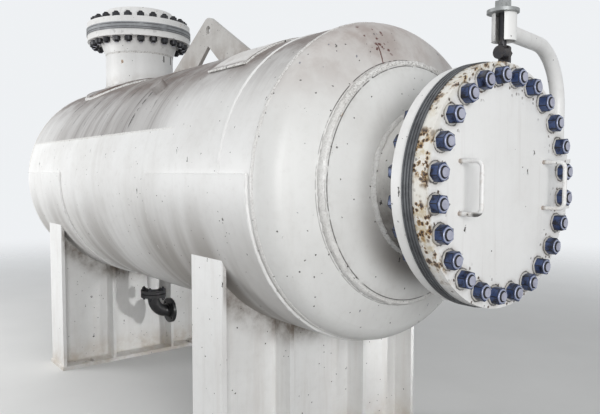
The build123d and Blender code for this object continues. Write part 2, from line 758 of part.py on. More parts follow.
# Saddles. The plates of each one are cut to the wear plate, and the base plate takes the anchor bolts.
base_width = saddle_plate_width + 2 * base_margin
base_length = 2 * (saddle_half_width + base_margin)
inner_half = saddle_half_width - saddle_plate
for end, saddle_x in saddle_places.items():
    wear_start, wear_width = wear_spans[end]
    with BuildPart() as saddle_wear_plate:
        with BuildSketch(across(wear_start)):
            Circle(wear_radius)
            Circle(shell_outer_radius, mode=Mode.SUBTRACT)
            with Locations((0, wear_rise)):
                Rectangle(
                    2 * wear_radius,
                    2 * wear_radius,
                    align=(Align.CENTER, Align.MAX),
                    mode=Mode.INTERSECT,
                )
        extrude(amount=wear_width)
        with BuildSketch(level(0)):
            with Locations((drain_x, 0)):
                Circle(drain_pipe_radius)
        extrude(amount=-2 * wear_radius, mode=Mode.SUBTRACT)
    saddle_wear_plate.part.label = end + "_wear_plate"
    export_step(saddle_wear_plate.part, "parts/" + end + "_wear_plate.step")

    with BuildPart() as saddle_web:
        with BuildSketch(across(saddle_x - saddle_plate / 2)):
            with Locations((0, base_plate - axis_height)):
                Rectangle(2 * inner_half, axis_height - base_plate, align=(Align.CENTER, Align.MIN))
            Circle(wear_radius, mode=Mode.SUBTRACT)
        extrude(amount=saddle_plate)
    saddle_web.part.label = end + "_saddle_web"
    export_step(saddle_web.part, "parts/" + end + "_saddle_web.step")

    with BuildPart() as saddle_ends:
        with BuildSketch(across(saddle_x - saddle_plate_width / 2)):
            with Locations((-saddle_half_width, base_plate - axis_height)):
                Rectangle(saddle_plate, axis_height - base_plate, align=(Align.MIN, Align.MIN))
            with Locations((saddle_half_width, base_plate - axis_height)):
                Rectangle(saddle_plate, axis_height - base_plate, align=(Align.MAX, Align.MIN))
            Circle(wear_radius, mode=Mode.SUBTRACT)
        extrude(amount=saddle_plate_width)
    saddle_ends.part.label = end + "_saddle_ends"
    export_step(saddle_ends.part, "parts/" + end + "_saddle_ends.step")

    with BuildPart() as saddle_ribs:
        with BuildSketch(across(saddle_x + saddle_plate / 2)):
            for side in (-1, 1):
                with Locations((side * rib_offset, base_plate - axis_height)):
                    Rectangle(saddle_plate, axis_height - base_plate, align=(Align.CENTER, Align.MIN))
            Circle(wear_radius, mode=Mode.SUBTRACT)
        extrude(amount=(saddle_plate_width - saddle_plate) / 2)
        mirror(about=Plane.YZ.offset(saddle_x))
    saddle_ribs.part.label = end + "_saddle_ribs"
    export_step(saddle_ribs.part, "parts/" + end + "_saddle_ribs.step")

    with BuildPart() as saddle_base:
        with BuildSketch(Plane.XY):
            with Locations((saddle_x, 0)):
                Rectangle(base_width, base_length)
                with GridLocations(2 * anchor_x, 2 * anchor_y, 2, 2):
                    if end == "front":
                        Circle(anchor_hole_radius, mode=Mode.SUBTRACT)
                    else:
                        SlotOverall(anchor_slot_length, 2 * anchor_hole_radius, mode=Mode.SUBTRACT)
        extrude(amount=base_plate)
    saddle_base.part.label = end + "_saddle_base"
    export_step(saddle_base.part, "parts/" + end + "_saddle_base.step")

# Drain under the shell: neck, flange, gasket, mating flange, elbow and the flange at its end
drain_inner_radius = drain_pipe_radius - drain_pipe_wall
drain_root_rise = -rise_on(shell_inner_radius, drain_pipe_radius)
drain_hub_rise = drain_flange_rise + drain_hub_length
with BuildPart() as drain_neck:
    with BuildSketch(level(drain_root_rise)):
        with Locations((drain_x, 0)):
            Circle(drain_pipe_radius)
            Circle(drain_inner_radius, mode=Mode.SUBTRACT)
    extrude(amount=drain_hub_rise - drain_root_rise)
drain_neck.part.label = "drain_neck"
export_step(drain_neck.part, "parts/drain_neck.step")

drain_ring = turned_flange(
    drain_inner_radius,
    drain_hub_radius,
    drain_hub_radius,
    drain_hub_length,
    drain_flange_radius,
    drain_flange_thickness,
    drain_face_radius,
    drain_face_height,
)
drain_rim_rise = drain_flange_rise - drain_flange_thickness
with BuildPart() as drain_flange:
    add(drain_ring.moved(Location((drain_x, 0, axis_height + drain_rim_rise), (180, 0, 0))))
    with BuildSketch(level(drain_rim_rise)):
        with Locations((drain_x, 0)):
            with PolarLocations(drain_bolt_circle_radius, drain_bolt_count, start_angle=180 / drain_bolt_count):
                Circle(drain_hole_radius)
    extrude(amount=drain_flange_thickness, mode=Mode.SUBTRACT)
drain_flange.part.label = "drain_flange"
export_step(drain_flange.part, "parts/drain_flange.step")

with BuildPart() as drain_gasket:
    with BuildSketch(level(drain_rim_rise - drain_face_height)):
        with Locations((drain_x, 0)):
            Circle(drain_face_radius)
            Circle(drain_face_radius - drain_gasket_width, mode=Mode.SUBTRACT)
    extrude(amount=-drain_flange_gap + 2 * drain_face_height)
drain_gasket.part.label = "drain_gasket"
export_step(drain_gasket.part, "parts/drain_gasket.step")

drain_mating_rise = drain_rim_rise - drain_flange_gap
with BuildPart() as drain_mating_flange:
    add(drain_ring.moved(Location((drain_x, 0, axis_height + drain_mating_rise))))
    with BuildSketch(level(drain_mating_rise - drain_flange_thickness)):
        with Locations((drain_x, 0)):
            with PolarLocations(drain_bolt_circle_radius, drain_bolt_count, start_angle=180 / drain_bolt_count):
                Circle(drain_hole_radius)
    extrude(amount=drain_flange_thickness, mode=Mode.SUBTRACT)
drain_mating_flange.part.label = "drain_mating_flange"
export_step(drain_mating_flange.part, "parts/drain_mating_flange.step")

elbow_top_rise = drain_mating_rise - drain_flange_thickness - drain_hub_length
run_rise = elbow_top_rise - drain_elbow_radius
with BuildPart() as drain_elbow:
    with BuildSketch(level(elbow_top_rise)):
        with Locations((drain_x, 0)):
            Circle(drain_pipe_radius)
            Circle(drain_inner_radius, mode=Mode.SUBTRACT)
    revolve(
        axis=Axis((drain_x, drain_elbow_radius, axis_height + elbow_top_rise), (1, 0, 0)),
        revolution_arc=90,
    )
drain_elbow.part.label = "drain_elbow"
export_step(drain_elbow.part, "parts/drain_elbow.step")

end_rim_y = drain_elbow_radius + drain_hub_length + drain_flange_thickness
with BuildPart() as drain_end_flange:
    add(drain_ring.moved(Location((drain_x, end_rim_y, axis_height + run_rise), (-90, 0, 0))))
    with BuildSketch(
        Plane(origin=(drain_x, end_rim_y, axis_height + run_rise), x_dir=(1, 0, 0), z_dir=(0, -1, 0))
    ):
        with PolarLocations(drain_bolt_circle_radius, drain_bolt_count, start_angle=180 / drain_bolt_count):
            Circle(drain_hole_radius)
    extrude(amount=drain_flange_thickness, mode=Mode.SUBTRACT)
drain_end_flange.part.label = "drain_end_flange"
export_step(drain_end_flange.part, "parts/drain_end_flange.step")
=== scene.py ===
# %% [markdown]
# # A pressure vessel on two saddles
# The solids of this vessel come ready made from a CAD program. This script dresses them: it adds
# the bolts, the welds and the weathered paint, and sets up a studio to look at them in.

# %% Load the frame
import math

import bmesh
import bpy
from mathutils import Matrix, Vector, noise


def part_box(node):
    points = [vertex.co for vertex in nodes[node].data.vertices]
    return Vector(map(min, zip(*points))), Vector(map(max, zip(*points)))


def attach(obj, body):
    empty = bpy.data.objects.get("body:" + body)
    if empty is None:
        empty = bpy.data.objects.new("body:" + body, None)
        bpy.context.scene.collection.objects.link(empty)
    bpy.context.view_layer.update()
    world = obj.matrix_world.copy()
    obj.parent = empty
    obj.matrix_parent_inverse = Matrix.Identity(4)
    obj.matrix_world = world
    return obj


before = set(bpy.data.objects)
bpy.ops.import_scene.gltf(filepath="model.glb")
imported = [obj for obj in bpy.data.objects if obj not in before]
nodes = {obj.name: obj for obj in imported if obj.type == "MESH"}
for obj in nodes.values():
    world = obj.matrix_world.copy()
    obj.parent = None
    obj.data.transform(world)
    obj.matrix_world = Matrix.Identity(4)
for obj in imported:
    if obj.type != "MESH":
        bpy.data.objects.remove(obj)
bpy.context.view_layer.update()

# %% [markdown]
# The solids tell where everything goes. Reading heights and centres from their boxes means that
# a change of size in the CAD carries through to the bolts and the welds. X runs along the vessel
# and ends at the cover, and Z points up.


# %% Read places from the solids
def middle(node, axis):
    low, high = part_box(node)
    return (low[axis] + high[axis]) / 2


axis_z = middle("middle_shell_course", 2)
shell_radius = (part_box("middle_shell_course")[1][1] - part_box("middle_shell_course")[0][1]) / 2
rear_tangent, front_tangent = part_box("rear_shell_course")[0][0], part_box("front_shell_course")[1][0]
seam_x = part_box("front_shell_course")[0][0]
cover_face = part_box("cover")[1][0]
joint_depth = 0.146
nozzle_x = middle("nozzle_neck", 0)
nozzle_joint = middle("nozzle_gasket", 2)
drain_x = middle("drain_neck", 0)
bolt_radius = 0.4064
bolt_count = 24
seam_turn = math.radians(68)
seam_lift = math.cos(seam_turn) * shell_radius
print("axis", axis_z, "shell radius", shell_radius, "cover face", cover_face)

# %% [markdown]
# ## Camera
# The camera stands near the cover and a little below the vessel's top, and looks along its side.
# Its place came from matching the bolts, the welds and the outline of the real vessel.
# A small shift frames the whole vessel without turning the camera.

# %% Place the camera
camera_data = bpy.data.cameras.new("camera")
camera = bpy.data.objects.new("camera", camera_data)
bpy.context.scene.collection.objects.link(camera)
bpy.context.scene.camera = camera
yaw, pitch = math.radians(37.6), math.radians(-3.44)
looking = Vector((-math.cos(yaw) * math.cos(pitch), math.sin(yaw) * math.cos(pitch), math.sin(pitch)))
camera.location = (2.393, -2.025, 1.473)
camera.rotation_euler = looking.to_track_quat("-Z", "Y").to_euler()
camera_data.sensor_width = 36
camera_data.lens = 36.35
camera_data.shift_x = 0.0242
camera_data.clip_end = 200
bpy.context.scene.view_settings.view_transform = "Standard"
print("camera at", camera.location[:], "looks along", looking[:])

# %% [markdown]
# ## Shader maths
# Grime, rust and wear are sums and products of masks. Joining Math nodes by hand hides such sums, so
# a small class wraps an output socket, and Python's own operators on it add the nodes.


# %% Write shader maths as expressions
class Wire:
    """An output socket. Sums and products of wires add the Math nodes that work them out."""

    def __init__(self, owner, socket):
        self.owner = owner
        self.socket = socket

    def maths(self, operation, first, second=0.0):
        return self.owner.node("ShaderNodeMath", {"operation": operation}, {0: first, 1: second})

    def __add__(self, other):
        return self.maths("ADD", self, other)

    def __radd__(self, other):
        return self.maths("ADD", other, self)

    def __sub__(self, other):
        return self.maths("SUBTRACT", self, other)

    def __rsub__(self, other):
        return self.maths("SUBTRACT", other, self)

    def __mul__(self, other):
        return self.maths("MULTIPLY", self, other)

    def __rmul__(self, other):
        return self.maths("MULTIPLY", other, self)

    def __truediv__(self, other):
        return self.maths("DIVIDE", self, other)

    def __pow__(self, other):
        return self.maths("POWER", self, other)

    def __abs__(self):
        return self.maths("ABSOLUTE", self)

    def also(self, output):
        """Another output of the same node."""
        return Wire(self.owner, self.socket.node.outputs[output])


# %% [markdown]
# Every other node is made by one method, which takes its type, its settings and what goes into its
# sockets. The world and the materials both have such a tree of nodes, so they share this class.


# %% Make any node
class Tree:
    """A node tree under construction."""

    def __init__(self, tree):
        self.tree = tree

    def node(self, kind, settings=None, sockets=None, output=0):
        made = self.tree.nodes.new(kind)
        for name, value in (settings or {}).items():
            setattr(made, name, value)
        for name, value in (sockets or {}).items():
            if isinstance(value, Wire):
                self.link(value, made.inputs[name])
            else:
                made.inputs[name].default_value = value
        return Wire(self, made.outputs[output])

    def link(self, wire, socket):
        self.tree.links.new(wire.socket, socket)

    def seen(self):
        """1 for rays from the camera, from mirrors and through glass; 0 for light on matt things."""
        path = self.node("ShaderNodeLightPath", output="Is Camera Ray")
        mirrored = path.maths("MAXIMUM", path.also("Is Glossy Ray"), path.also("Is Transmission Ray"))
        return path.maths("MAXIMUM", path, mirrored)


# %% [markdown]
# A mask is a wire that is 1 where some dirt lies and 0 elsewhere. Soft steps make the masks, because
# no edge of dirt or wear on the real vessel is sharp, and a mix lays a colour over what is there.


# %% Masks and mixes
class Masks(Tree):
    """Soft steps between 0 and 1, and the mixing of two colours."""

    def rise(self, wire, low, high):
        """0 below low, 1 above high, with a soft step between; high below low turns it round."""
        return self.node(
            "ShaderNodeMapRange",
            {"interpolation_type": "SMOOTHSTEP"},
            {"Value": wire, "From Min": low, "From Max": high},
        )

    def within(self, wire, centre, half, soft):
        """1 where the wire is within half of centre, fading over soft."""
        return self.rise(abs(wire - centre), half + soft, half)

    def mix(self, factor, first, second):
        def colour(value):
            return value if isinstance(value, Wire) else (*value, 1)

        sockets = {0: factor, 6: colour(first), 7: colour(second)}
        return self.node("ShaderNodeMix", {"data_type": "RGBA"}, sockets, 2)


# %% [markdown]
# A finish is a material with the places and patterns that dirt follows: how high a point lies above
# the vessel's axis, how far from that axis it is, noise, blotches and ragged spots. All of them read
# Object coordinates, so they stay on the metal and run on from one piece to the next.


# %% A finish and its patterns
class Finish(Masks):
    """A material with a principled shader, whose sockets can also be set by their names."""

    def __init__(self, name, **constants):
        self.material = bpy.data.materials.new(name)
        self.material.use_nodes = True
        super().__init__(self.material.node_tree)
        self.shader = self.tree.nodes["Principled BSDF"]
        for socket, value in constants.items():
            self.shader.inputs[socket.replace("_", " ")].default_value = value
        self.place = self.node("ShaderNodeTexCoord", output="Object")
        self.x = self.node("ShaderNodeSeparateXYZ", {}, {0: self.place}, "X")
        self.y = self.x.also("Y")
        self.z = self.x.also("Z")
        self.lift = self.z - axis_z
        self.radius = (self.y * self.y + self.lift * self.lift) ** 0.5

    def into(self, socket, wire):
        self.link(wire, self.shader.inputs[socket])

    def stretched(self, scale, shift=(0, 0, 0)):
        sockets = {"Vector": self.place, "Scale": scale, "Location": shift}
        return self.node("ShaderNodeMapping", {}, sockets)

    def noise(self, scale, detail=4.0, roughness=0.55, vector=None):
        sockets = {"Vector": vector or self.place, "Scale": scale, "Detail": detail, "Roughness": roughness}
        return self.node("ShaderNodeTexNoise", {}, sockets)

    def blotches(self, scale, detail, roughness, low, high, vector=None):
        """Noise whose values from low to high become 0 to 1."""
        return self.rise(self.noise(scale, detail, roughness, vector), low, high)

    def spots(self, scale, share, size, vector=None):
        """Ragged spots. A metre holds scale cells, and a share of the cells holds a spot of that size."""
        wobble = self.noise(scale * 3.0, 3.0, 0.6).also("Color")
        sockets = {0: wobble, 1: (0.7 / scale,) * 3, 2: vector or self.place}
        moved = self.node("ShaderNodeVectorMath", {"operation": "MULTIPLY_ADD"}, sockets)
        near = self.node("ShaderNodeTexVoronoi", {}, {"Vector": moved, "Scale": scale}, "Distance")
        chance = self.node("ShaderNodeSeparateColor", {}, {0: near.also("Color")})
        return self.rise(near, size, size * 0.75) * self.rise(chance, share, share * 0.96)

    def bump(self, height, distance, strength=1.0):
        sockets = {"Height": height, "Distance": distance, "Strength": strength}
        self.into("Normal", self.node("ShaderNodeBump", {}, sockets))


# %% [markdown]
# ## Studio
# The real vessel stands in open daylight that comes in low from its near side and its front. A pale
# world fills the shadows. It is at full strength only where the camera or a mirror sees it, and
# lights the vessel with less than half of that, so that the background is pale and the paint isn't
# burnt out.

# %% World
world = bpy.data.worlds.new("studio")
bpy.context.scene.world = world
world.use_nodes = True
sky = Tree(world.node_tree)
background = world.node_tree.nodes["Background"]
background.inputs["Color"].default_value = (0.86, 0.88, 0.90, 1)
world_light = 0.42
sky.link(world_light + (1.0 - world_light) * sky.seen(), background.inputs["Strength"])
print("world lights the vessel at", world_light)

# %% [markdown]
# The floor fades out a few metres away, so that it melts into the background without a horizon. It
# looks pale to the camera and in mirrors; the light that it throws back up is that of dark concrete.

# %% Floor
floor_mesh = bmesh.new()
bmesh.ops.create_circle(floor_mesh, segments=64, radius=14, cap_ends=True)
floor_data = bpy.data.meshes.new("floor")
floor_mesh.to_mesh(floor_data)
floor_mesh.free()
floor = bpy.data.objects.new("floor", floor_data)
bpy.context.scene.collection.objects.link(floor)
floor_finish = Finish("floor_grey", Roughness=0.9)
pale = floor_finish.mix(floor_finish.noise(1.5, 3.0), (0.72, 0.72, 0.71), (0.80, 0.80, 0.79))
dark = (0.20, 0.20, 0.20)
floor_finish.into("Base Color", floor_finish.mix(floor_finish.seen(), dark, pale))
from_middle = floor_finish.x + 0.8
distance = (from_middle * from_middle + floor_finish.y * floor_finish.y) ** 0.5
floor_finish.into("Alpha", floor_finish.rise(distance, 11.0, 2.5))
floor_data.materials.append(floor_finish.material)
print("floor of", len(floor_data.polygons), "face")

# %% [markdown]
# One large lamp hangs overhead, and two more stand in front and beside. Large lamps give the soft
# shading of a hazy sky. A small narrow one throws the shadows of the ribs and the drain on the rear
# saddle's web; a lamp that spreads less is brighter ahead, so it needs very little power.


# %% Lamps
def lamp(name, place, target, size, power, spread=180):
    """A square area lamp at place that shines at target. Its spread is in degrees."""
    data = bpy.data.lights.new(name, "AREA")
    data.size = size
    data.energy = power
    data.spread = math.radians(spread)
    light = bpy.data.objects.new(name, data)
    light.location = place
    light.rotation_euler = (Vector(target) - Vector(place)).to_track_quat("-Z", "Y").to_euler()
    bpy.context.scene.collection.objects.link(light)
    print(name, "lamp", size, "m wide,", power, "W")


lamp("overhead", (-0.5, -1.5, 6.5), (-0.8, 0, 1.2), 5.0, 85)
lamp("front", (5.6, -3.2, 1.9), (0.6, 0, 1.2), 3.0, 250)
lamp("side", (-4.3, -4.2, 1.6), (-2.5, 0, 1.0), 2.4, 150)
lamp("low", (3.36, 2.25, 1.3), (-2.2, 0, 0.45), 0.4, 2.4, 26)

# %% [markdown]
# ## Paint
# The vessel wears off-white paint that has stood outdoors for years. Grime lies on it in broad
# patches and in runs, small chips show the dark primer, and rust creeps out of a few of them. One
# function builds this paint, and its arguments say how much of each a piece has got. What belongs
# to one place only, such as the dirt round the nuts, is added by a function of that piece.

# %% Colours of paint and dirt
white = (0.80, 0.80, 0.79)
# This near black also paints the shadow close round the cover's nuts.
soot_and_shade = (0.050, 0.045, 0.042)
rust_halo = (0.40, 0.235, 0.10)
rust_core = (0.085, 0.042, 0.024)
grime_tint = (0.50, 0.465, 0.43)
# A streak's grain is fine across it and coarse along it. Streaks run down plates or round the vessel.
down = (22, 22, 1.4)
round_vessel = (30, 1.4, 1.4)


# %% Weathered paint
def weathered(
    name, colour=white, grime=0.3, chips=0.3, streaks=0.2, rust=0.1, run=down, extra=None, shine=0.35
):
    """Off-white paint. run is the grain of its streaks, and extra adds a piece's own dirt."""
    paint = Finish(name, Specular_IOR_Level=shine)
    broad = paint.noise(2.6, 5.0, 0.6)
    tone = paint.rise(broad, 0.34, 0.72) * (0.8 * grime)
    tone = tone + paint.blotches(26.0, 6.0, 0.68, 0.46, 0.80) * (0.5 * grime)
    tone = tone + paint.blotches(1.0, 4.0, 0.62, 0.50, 0.82, paint.stretched(run)) * streaks
    look = paint.mix(tone, colour, tuple(part * tint for part, tint in zip(colour, grime_tint)))
    if extra:
        look = extra(paint, look)
    upright = paint.stretched((1, 1, 0.40))
    chipped = paint.spots(26.0, 0.26 * chips, 0.16, upright) + paint.spots(55.0, 0.30 * chips, 0.20)
    look = paint.mix(chipped, look, soot_and_shade)
    rusty = paint.spots(16.0, 0.25 * rust, 0.24)
    look = paint.mix(rusty * 0.75, look, rust_halo)
    look = paint.mix(paint.spots(16.0, 0.25 * rust, 0.14), look, rust_core)
    paint.into("Base Color", look)
    paint.into("Roughness", 0.36 + 0.30 * tone + 0.25 * rusty)
    skin = paint.noise(160.0, 2.0)
    paint.bump(skin * 0.25 + broad * 0.8 - chipped * 0.6 + rusty * 0.4, 0.0014, 0.5)
    return paint.material


# %% [markdown]
# Rain washes the shell's side below its long seam. Above the seam lies a grey film, which ends in a
# sharp line along the seam on the near side and fades softly elsewhere. It is streaked by noise that
# is stretched down the shell, and gets thinner towards the rear.

# %% Dirt of the shell
film_colour = (0.20, 0.180, 0.172)
shell_top_colour = (0.145, 0.112, 0.098)
# Painted shade of the shell's lower half.
underside_shade_colour = (0.25, 0.227, 0.205)


def film_mask(paint):
    """How much grey film lies on the shell."""
    streaky = paint.blotches(1.0, 6.0, 0.72, 0.38, 0.64, paint.stretched((6, 0.8, 0.8)))
    fine = paint.blotches(1.0, 4.0, 0.65, 0.50, 0.64, paint.stretched((30, 0.9, 0.9), (0.4, 0.2, 0)))
    beside_seam = paint.rise(paint.x, -0.20, -0.60)
    beside_seam = beside_seam * paint.rise(paint.x, rear_tangent - 0.01, rear_tangent + 0.01)
    beside_seam = beside_seam * paint.rise(paint.y, 0.04, -0.16)
    sharp = paint.rise(paint.lift, seam_lift - 0.006, seam_lift + 0.006)
    soft = paint.rise(paint.lift, 0.16, 0.62)
    above = beside_seam * sharp * 0.92 + (1 - beside_seam) * soft * 0.55
    above = above * (0.50 + 0.50 * paint.rise(paint.x, -2.50, -1.75))
    return above * (0.54 + 0.22 * streaky + 0.20 * fine)


def shell_dirt(paint, look):
    """The film, browner dirt at the top, and painted shade in broad bands below the middle."""
    look = paint.mix(film_mask(paint) * 1.06, look, film_colour)
    top = paint.rise(paint.lift, 0.38, 0.67) * (0.45 + paint.blotches(5.0, 5.0, 0.65, 0.34, 0.62))
    look = paint.mix(top * 0.92, look, shell_top_colour)
    # Painted shade: below its middle the shell darkens, in broad bands of noise.
    bands = paint.blotches(1.0, 3.0, 0.5, 0.40, 0.62, paint.stretched((4.2, 0.5, 0.5), (3.1, 0, 0)))
    share = 0.22 + 0.48 * bands + 0.16 * paint.rise(paint.x, -1.0, -0.3)
    look = paint.mix(paint.rise(paint.lift, 0.06, -0.40) * share, look, underside_shade_colour)
    return run_lines(paint, look)


# %% [markdown]
# Dark threads of dirt run down from the top nozzle's pad and from the boss. Each is a thin band in X,
# shaken and broken by noise, and fades at both ends.

# %% Threads of dirt on the shell
# Of each thread: its x, its lower and upper end above the axis, half its width, and its darkness.
threads = (
    (-0.832, 0.30, 0.62, 0.0065, 1.1),
    (-0.892, 0.42, 0.52, 0.0035, 0.9),
    (-1.130, 0.50, 0.66, 0.0065, 1.0),
    (-1.250, 0.50, 0.66, 0.0035, 0.6),
    (-1.420, 0.44, 0.64, 0.0045, 0.6),
    (-1.690, 0.46, 0.64, 0.0065, 1.0),
    (-1.640, 0.34, 0.47, 0.0035, 0.6),
    (-2.085, 0.46, 0.66, 0.0075, 1.0),
    (-1.900, 0.36, 0.50, 0.0040, 0.5),
    (-0.640, 0.40, 0.50, 0.0030, 0.6),
)
thread_colour = (0.060, 0.054, 0.050)


def run_lines(paint, look):
    """The threads show on the near side only."""
    shaken = paint.x + (paint.noise(7.0, 3.0, 0.6) - 0.5) * 0.05
    broken = paint.blotches(16.0, 4.0, 0.7, 0.40, 0.50)
    near_side = paint.rise(paint.y, -0.02, -0.12)
    lines = 0.0
    for place, low, high, half, share in threads:
        span = paint.within(paint.lift, (low + high) / 2, (high - low) / 2 - 0.03, 0.05)
        lines = lines + paint.within(shaken, place, half, 0.007) * span * share
    return paint.mix(lines * broken * near_side * 0.9, look, thread_colour)


# %% [markdown]
# Rain leaves the dished head's upper half pinkish brown. Black dirt marks the edge, or toe, of the
# weld round the ring on the head, and a few flakes and a scratch show the red primer.

# %% Dirt of the head
head_top_colour = (0.31, 0.25, 0.225)
dash_colour = (0.10, 0.11, 0.15)
primer_red = (0.10, 0.035, 0.028)
outer_toe = 0.5262


def head_dirt(paint, look):
    top = paint.rise(paint.lift, 0.22, 0.66) * (0.50 + 0.45 * paint.blotches(6.0, 5.0, 0.66, 0.34, 0.64))
    look = paint.mix(top * 0.88, look, head_top_colour)
    toe = paint.within(paint.radius, outer_toe, 0.0008, 0.0022) * paint.blotches(22.0, 4.0, 0.55, 0.32, 0.50)
    look = paint.mix(toe * (0.45 + 0.50 * paint.rise(paint.lift, 0.10, 0.40)), look, soot_and_shade)
    dashes = paint.spots(21.0, 0.12, 0.15, paint.stretched((1.6, 1.6, 0.34), (0.3, 0.7, 0.2)))
    look = paint.mix(dashes * 0.75, look, dash_colour)
    scratch = paint.within(paint.y + paint.noise(40.0, 2.0) * 0.012, -0.153, 0.0016, 0.0022)
    scratch = scratch * paint.within(paint.lift, 0.526, 0.050, 0.006)
    flakes = paint.spots(34.0, 0.9, 0.30) * paint.within(paint.y, -0.16, 0.05, 0.03)
    flakes = flakes * paint.within(paint.lift, 0.60, 0.05, 0.03)
    return paint.mix(scratch + flakes, look, primer_red)


# %% [markdown]
# Rain hardly washes the ring on the head and the neck that stands on it. Grime gathers beside their
# welds. Painted shade darkens the ring towards the neck, and dirt with painted shade is nearly black
# under the neck and on its lower side. Steps in height and in distance from the axis place it.

# %% Dirt of the ring and the neck
inner_toe = 0.4985
toe_grime = (0.34, 0.31, 0.29)
shade_towards_neck = (0.42, 0.40, 0.375)
under_neck_shade_and_dirt = (0.15, 0.12, 0.10)
neck_grime_and_shade = (0.36, 0.33, 0.30)
neck_underside_shade_and_dirt = (0.050, 0.038, 0.031)


def pad_dirt(paint, look):
    outer = paint.rise(paint.radius, 0.470, 0.500) * paint.blotches(24.0, 5.0, 0.7, 0.42, 0.66)
    look = paint.mix(outer * 0.25, look, toe_grime)
    toe = paint.within(paint.radius, inner_toe, 0.0010, 0.0022) * paint.blotches(22.0, 4.0, 0.55, 0.30, 0.46)
    look = paint.mix(toe * 0.85, look, soot_and_shade)
    # Painted shade: the ring darkens towards the neck's root, in blotches.
    inner = paint.rise(paint.radius, 0.410, 0.320) * (0.45 + 0.45 * paint.blotches(8.0, 4.0, 0.6, 0.34, 0.66))
    look = paint.mix(inner * 0.28, look, shade_towards_neck)
    # Partly dirt, partly painted shade: the ring darkens below the neck.
    under = paint.rise(paint.lift, 0.00, -0.40) * paint.rise(paint.radius, 0.46, 0.34)
    return paint.mix(under * 0.72, look, under_neck_shade_and_dirt)


def neck_dirt(paint, look):
    patch = paint.blotches(9.0, 6.0, 0.7, 0.34, 0.68)
    # low marks the neck's lower side, which gets dirt and painted shade.
    low = paint.rise(paint.lift, 0.16, -0.26)
    look = paint.mix(patch * 0.22 + low * 0.20, look, neck_grime_and_shade)
    return paint.mix(low * (0.66 + 0.34 * patch), look, neck_underside_shade_and_dirt)


# %% [markdown]
# Each nut on the cover sits in a smudge of dirt and painted shade, with a ring of painted shadow close
# round it. An angle and a remainder give the distance to the nearest nut, so one mask serves all of
# them. Rust has pitted the cover's rim on its near side.

# %% Dirt of the cover
smudge_and_shade_colour = (0.36, 0.315, 0.27)
rim_cream = (0.62, 0.57, 0.44)
rim_ochre = (0.50, 0.39, 0.20)
pit_halo = (0.34, 0.22, 0.10)
pit_core = (0.045, 0.026, 0.018)
speck_colour = (0.07, 0.045, 0.030)
cover_run_colour = (0.42, 0.38, 0.35)


def from_nearest_nut(paint):
    """How far a point of the cover is from the middle of the nearest nut, in metres."""
    step = math.tau / bolt_count
    turn = paint.y.maths("ARCTAN2", paint.y, paint.lift) / step
    along_circle = (turn.maths("FRACT", turn) - 0.5) * (step * bolt_radius)
    from_circle = paint.radius - bolt_radius
    return (along_circle * along_circle + from_circle * from_circle) ** 0.5


def rim_rust(paint, look):
    """Cream and ochre rust with dark pits along the rim's near side."""
    near = paint.rise(paint.y * -1.0 + paint.lift * 0.5, 0.08, 0.36)
    rim = paint.rise(paint.radius, 0.425, 0.446) * near
    look = paint.mix(rim * 0.30, look, rim_cream)
    pits = paint.blotches(6.0, 2.0, 0.5, 0.40, 0.56) * rim
    pits = pits * (0.35 + paint.rise(paint.radius, 0.434, 0.449))
    look = paint.mix(paint.blotches(30.0, 4.0, 0.7, 0.46, 0.64) * pits * 0.5, look, rim_ochre)
    for scale, share, size in ((30.0, 0.55, 0.52), (58.0, 0.60, 0.50)):
        look = paint.mix(paint.spots(scale, share, size) * pits * 0.75, look, pit_halo)
        look = paint.mix(paint.spots(scale, share, size * 0.72) * pits, look, pit_core)
    return look


def cover_dirt(paint, look):
    from_nut = from_nearest_nut(paint)
    ragged = from_nut + (paint.noise(45.0, 4.0, 0.65) - 0.5) * 0.022
    # The smudge round each nut is partly dirt, partly painted shade; the near-black ring is a painted shadow.
    look = paint.mix(paint.rise(ragged, 0.060, 0.040) * 0.30, look, smudge_and_shade_colour)
    look = paint.mix(paint.rise(ragged, 0.0430, 0.0385) * 0.9, look, soot_and_shade)
    look = rim_rust(paint, look)
    around = paint.rise(from_nut, 0.085, 0.045)
    look = paint.mix(paint.spots(48.0, 0.24, 0.30) * around, look, speck_colour)
    runs = paint.blotches(1.0, 3.0, 0.6, 0.54, 0.76, paint.stretched((10, 26, 1.4)))
    return paint.mix(runs * 0.16, look, cover_run_colour)


# %% [markdown]
# The top nozzle's flanges have black scuffs along their rims, like those that tools leave. Its neck
# is clean but for some grey at the foot and two short black scratches on its front half.

# %% Dirt of the top nozzle
nozzle_foot_colour = (0.42, 0.385, 0.35)
# Of each scratch on the neck: its y, its z, and half its height.
scratches = ((0.088, 2.317, 0.020), (0.168, 2.322, 0.030))


def nozzle_dirt(paint, look):
    """Scuffs, densest on the outer edges of the two rims."""
    scuffs = paint.spots(22.0, 0.55, 0.34) * paint.blotches(8.0, 3.0, 0.6, 0.46, 0.60)
    inside = paint.within(paint.z, nozzle_joint, 0.058, 0.008)
    edges = paint.within(paint.z, nozzle_joint, 0.070, 0.004) * paint.rise(inside, 1.0, 0.0)
    return paint.mix(scuffs * (0.25 + edges) * 0.9, look, soot_and_shade)


def nozzle_neck_dirt(paint, look):
    foot = paint.rise(paint.lift, 0.80, 0.70) * (0.3 + paint.blotches(9.0, 4.0, 0.6, 0.36, 0.62))
    look = paint.mix(foot * 0.5, look, nozzle_foot_colour)
    front_half = paint.rise(paint.x, nozzle_x + 0.08, nozzle_x + 0.12)
    for y, z, half in scratches:
        mark = paint.within(paint.y, y, 0.005, 0.002) * paint.within(paint.z, z, half, 0.006)
        look = paint.mix(mark * front_half, look, soot_and_shade)
    return look


# %% [markdown]
# The lug and the plate on top of the shell are greyer than the rest, and brown dirt lies on them. The
# lug's lower part is darkened by dirt and painted shade, and a painted shadow runs along the plate's
# edges. A mask that rises towards the sides of the plate's own box finds those edges.

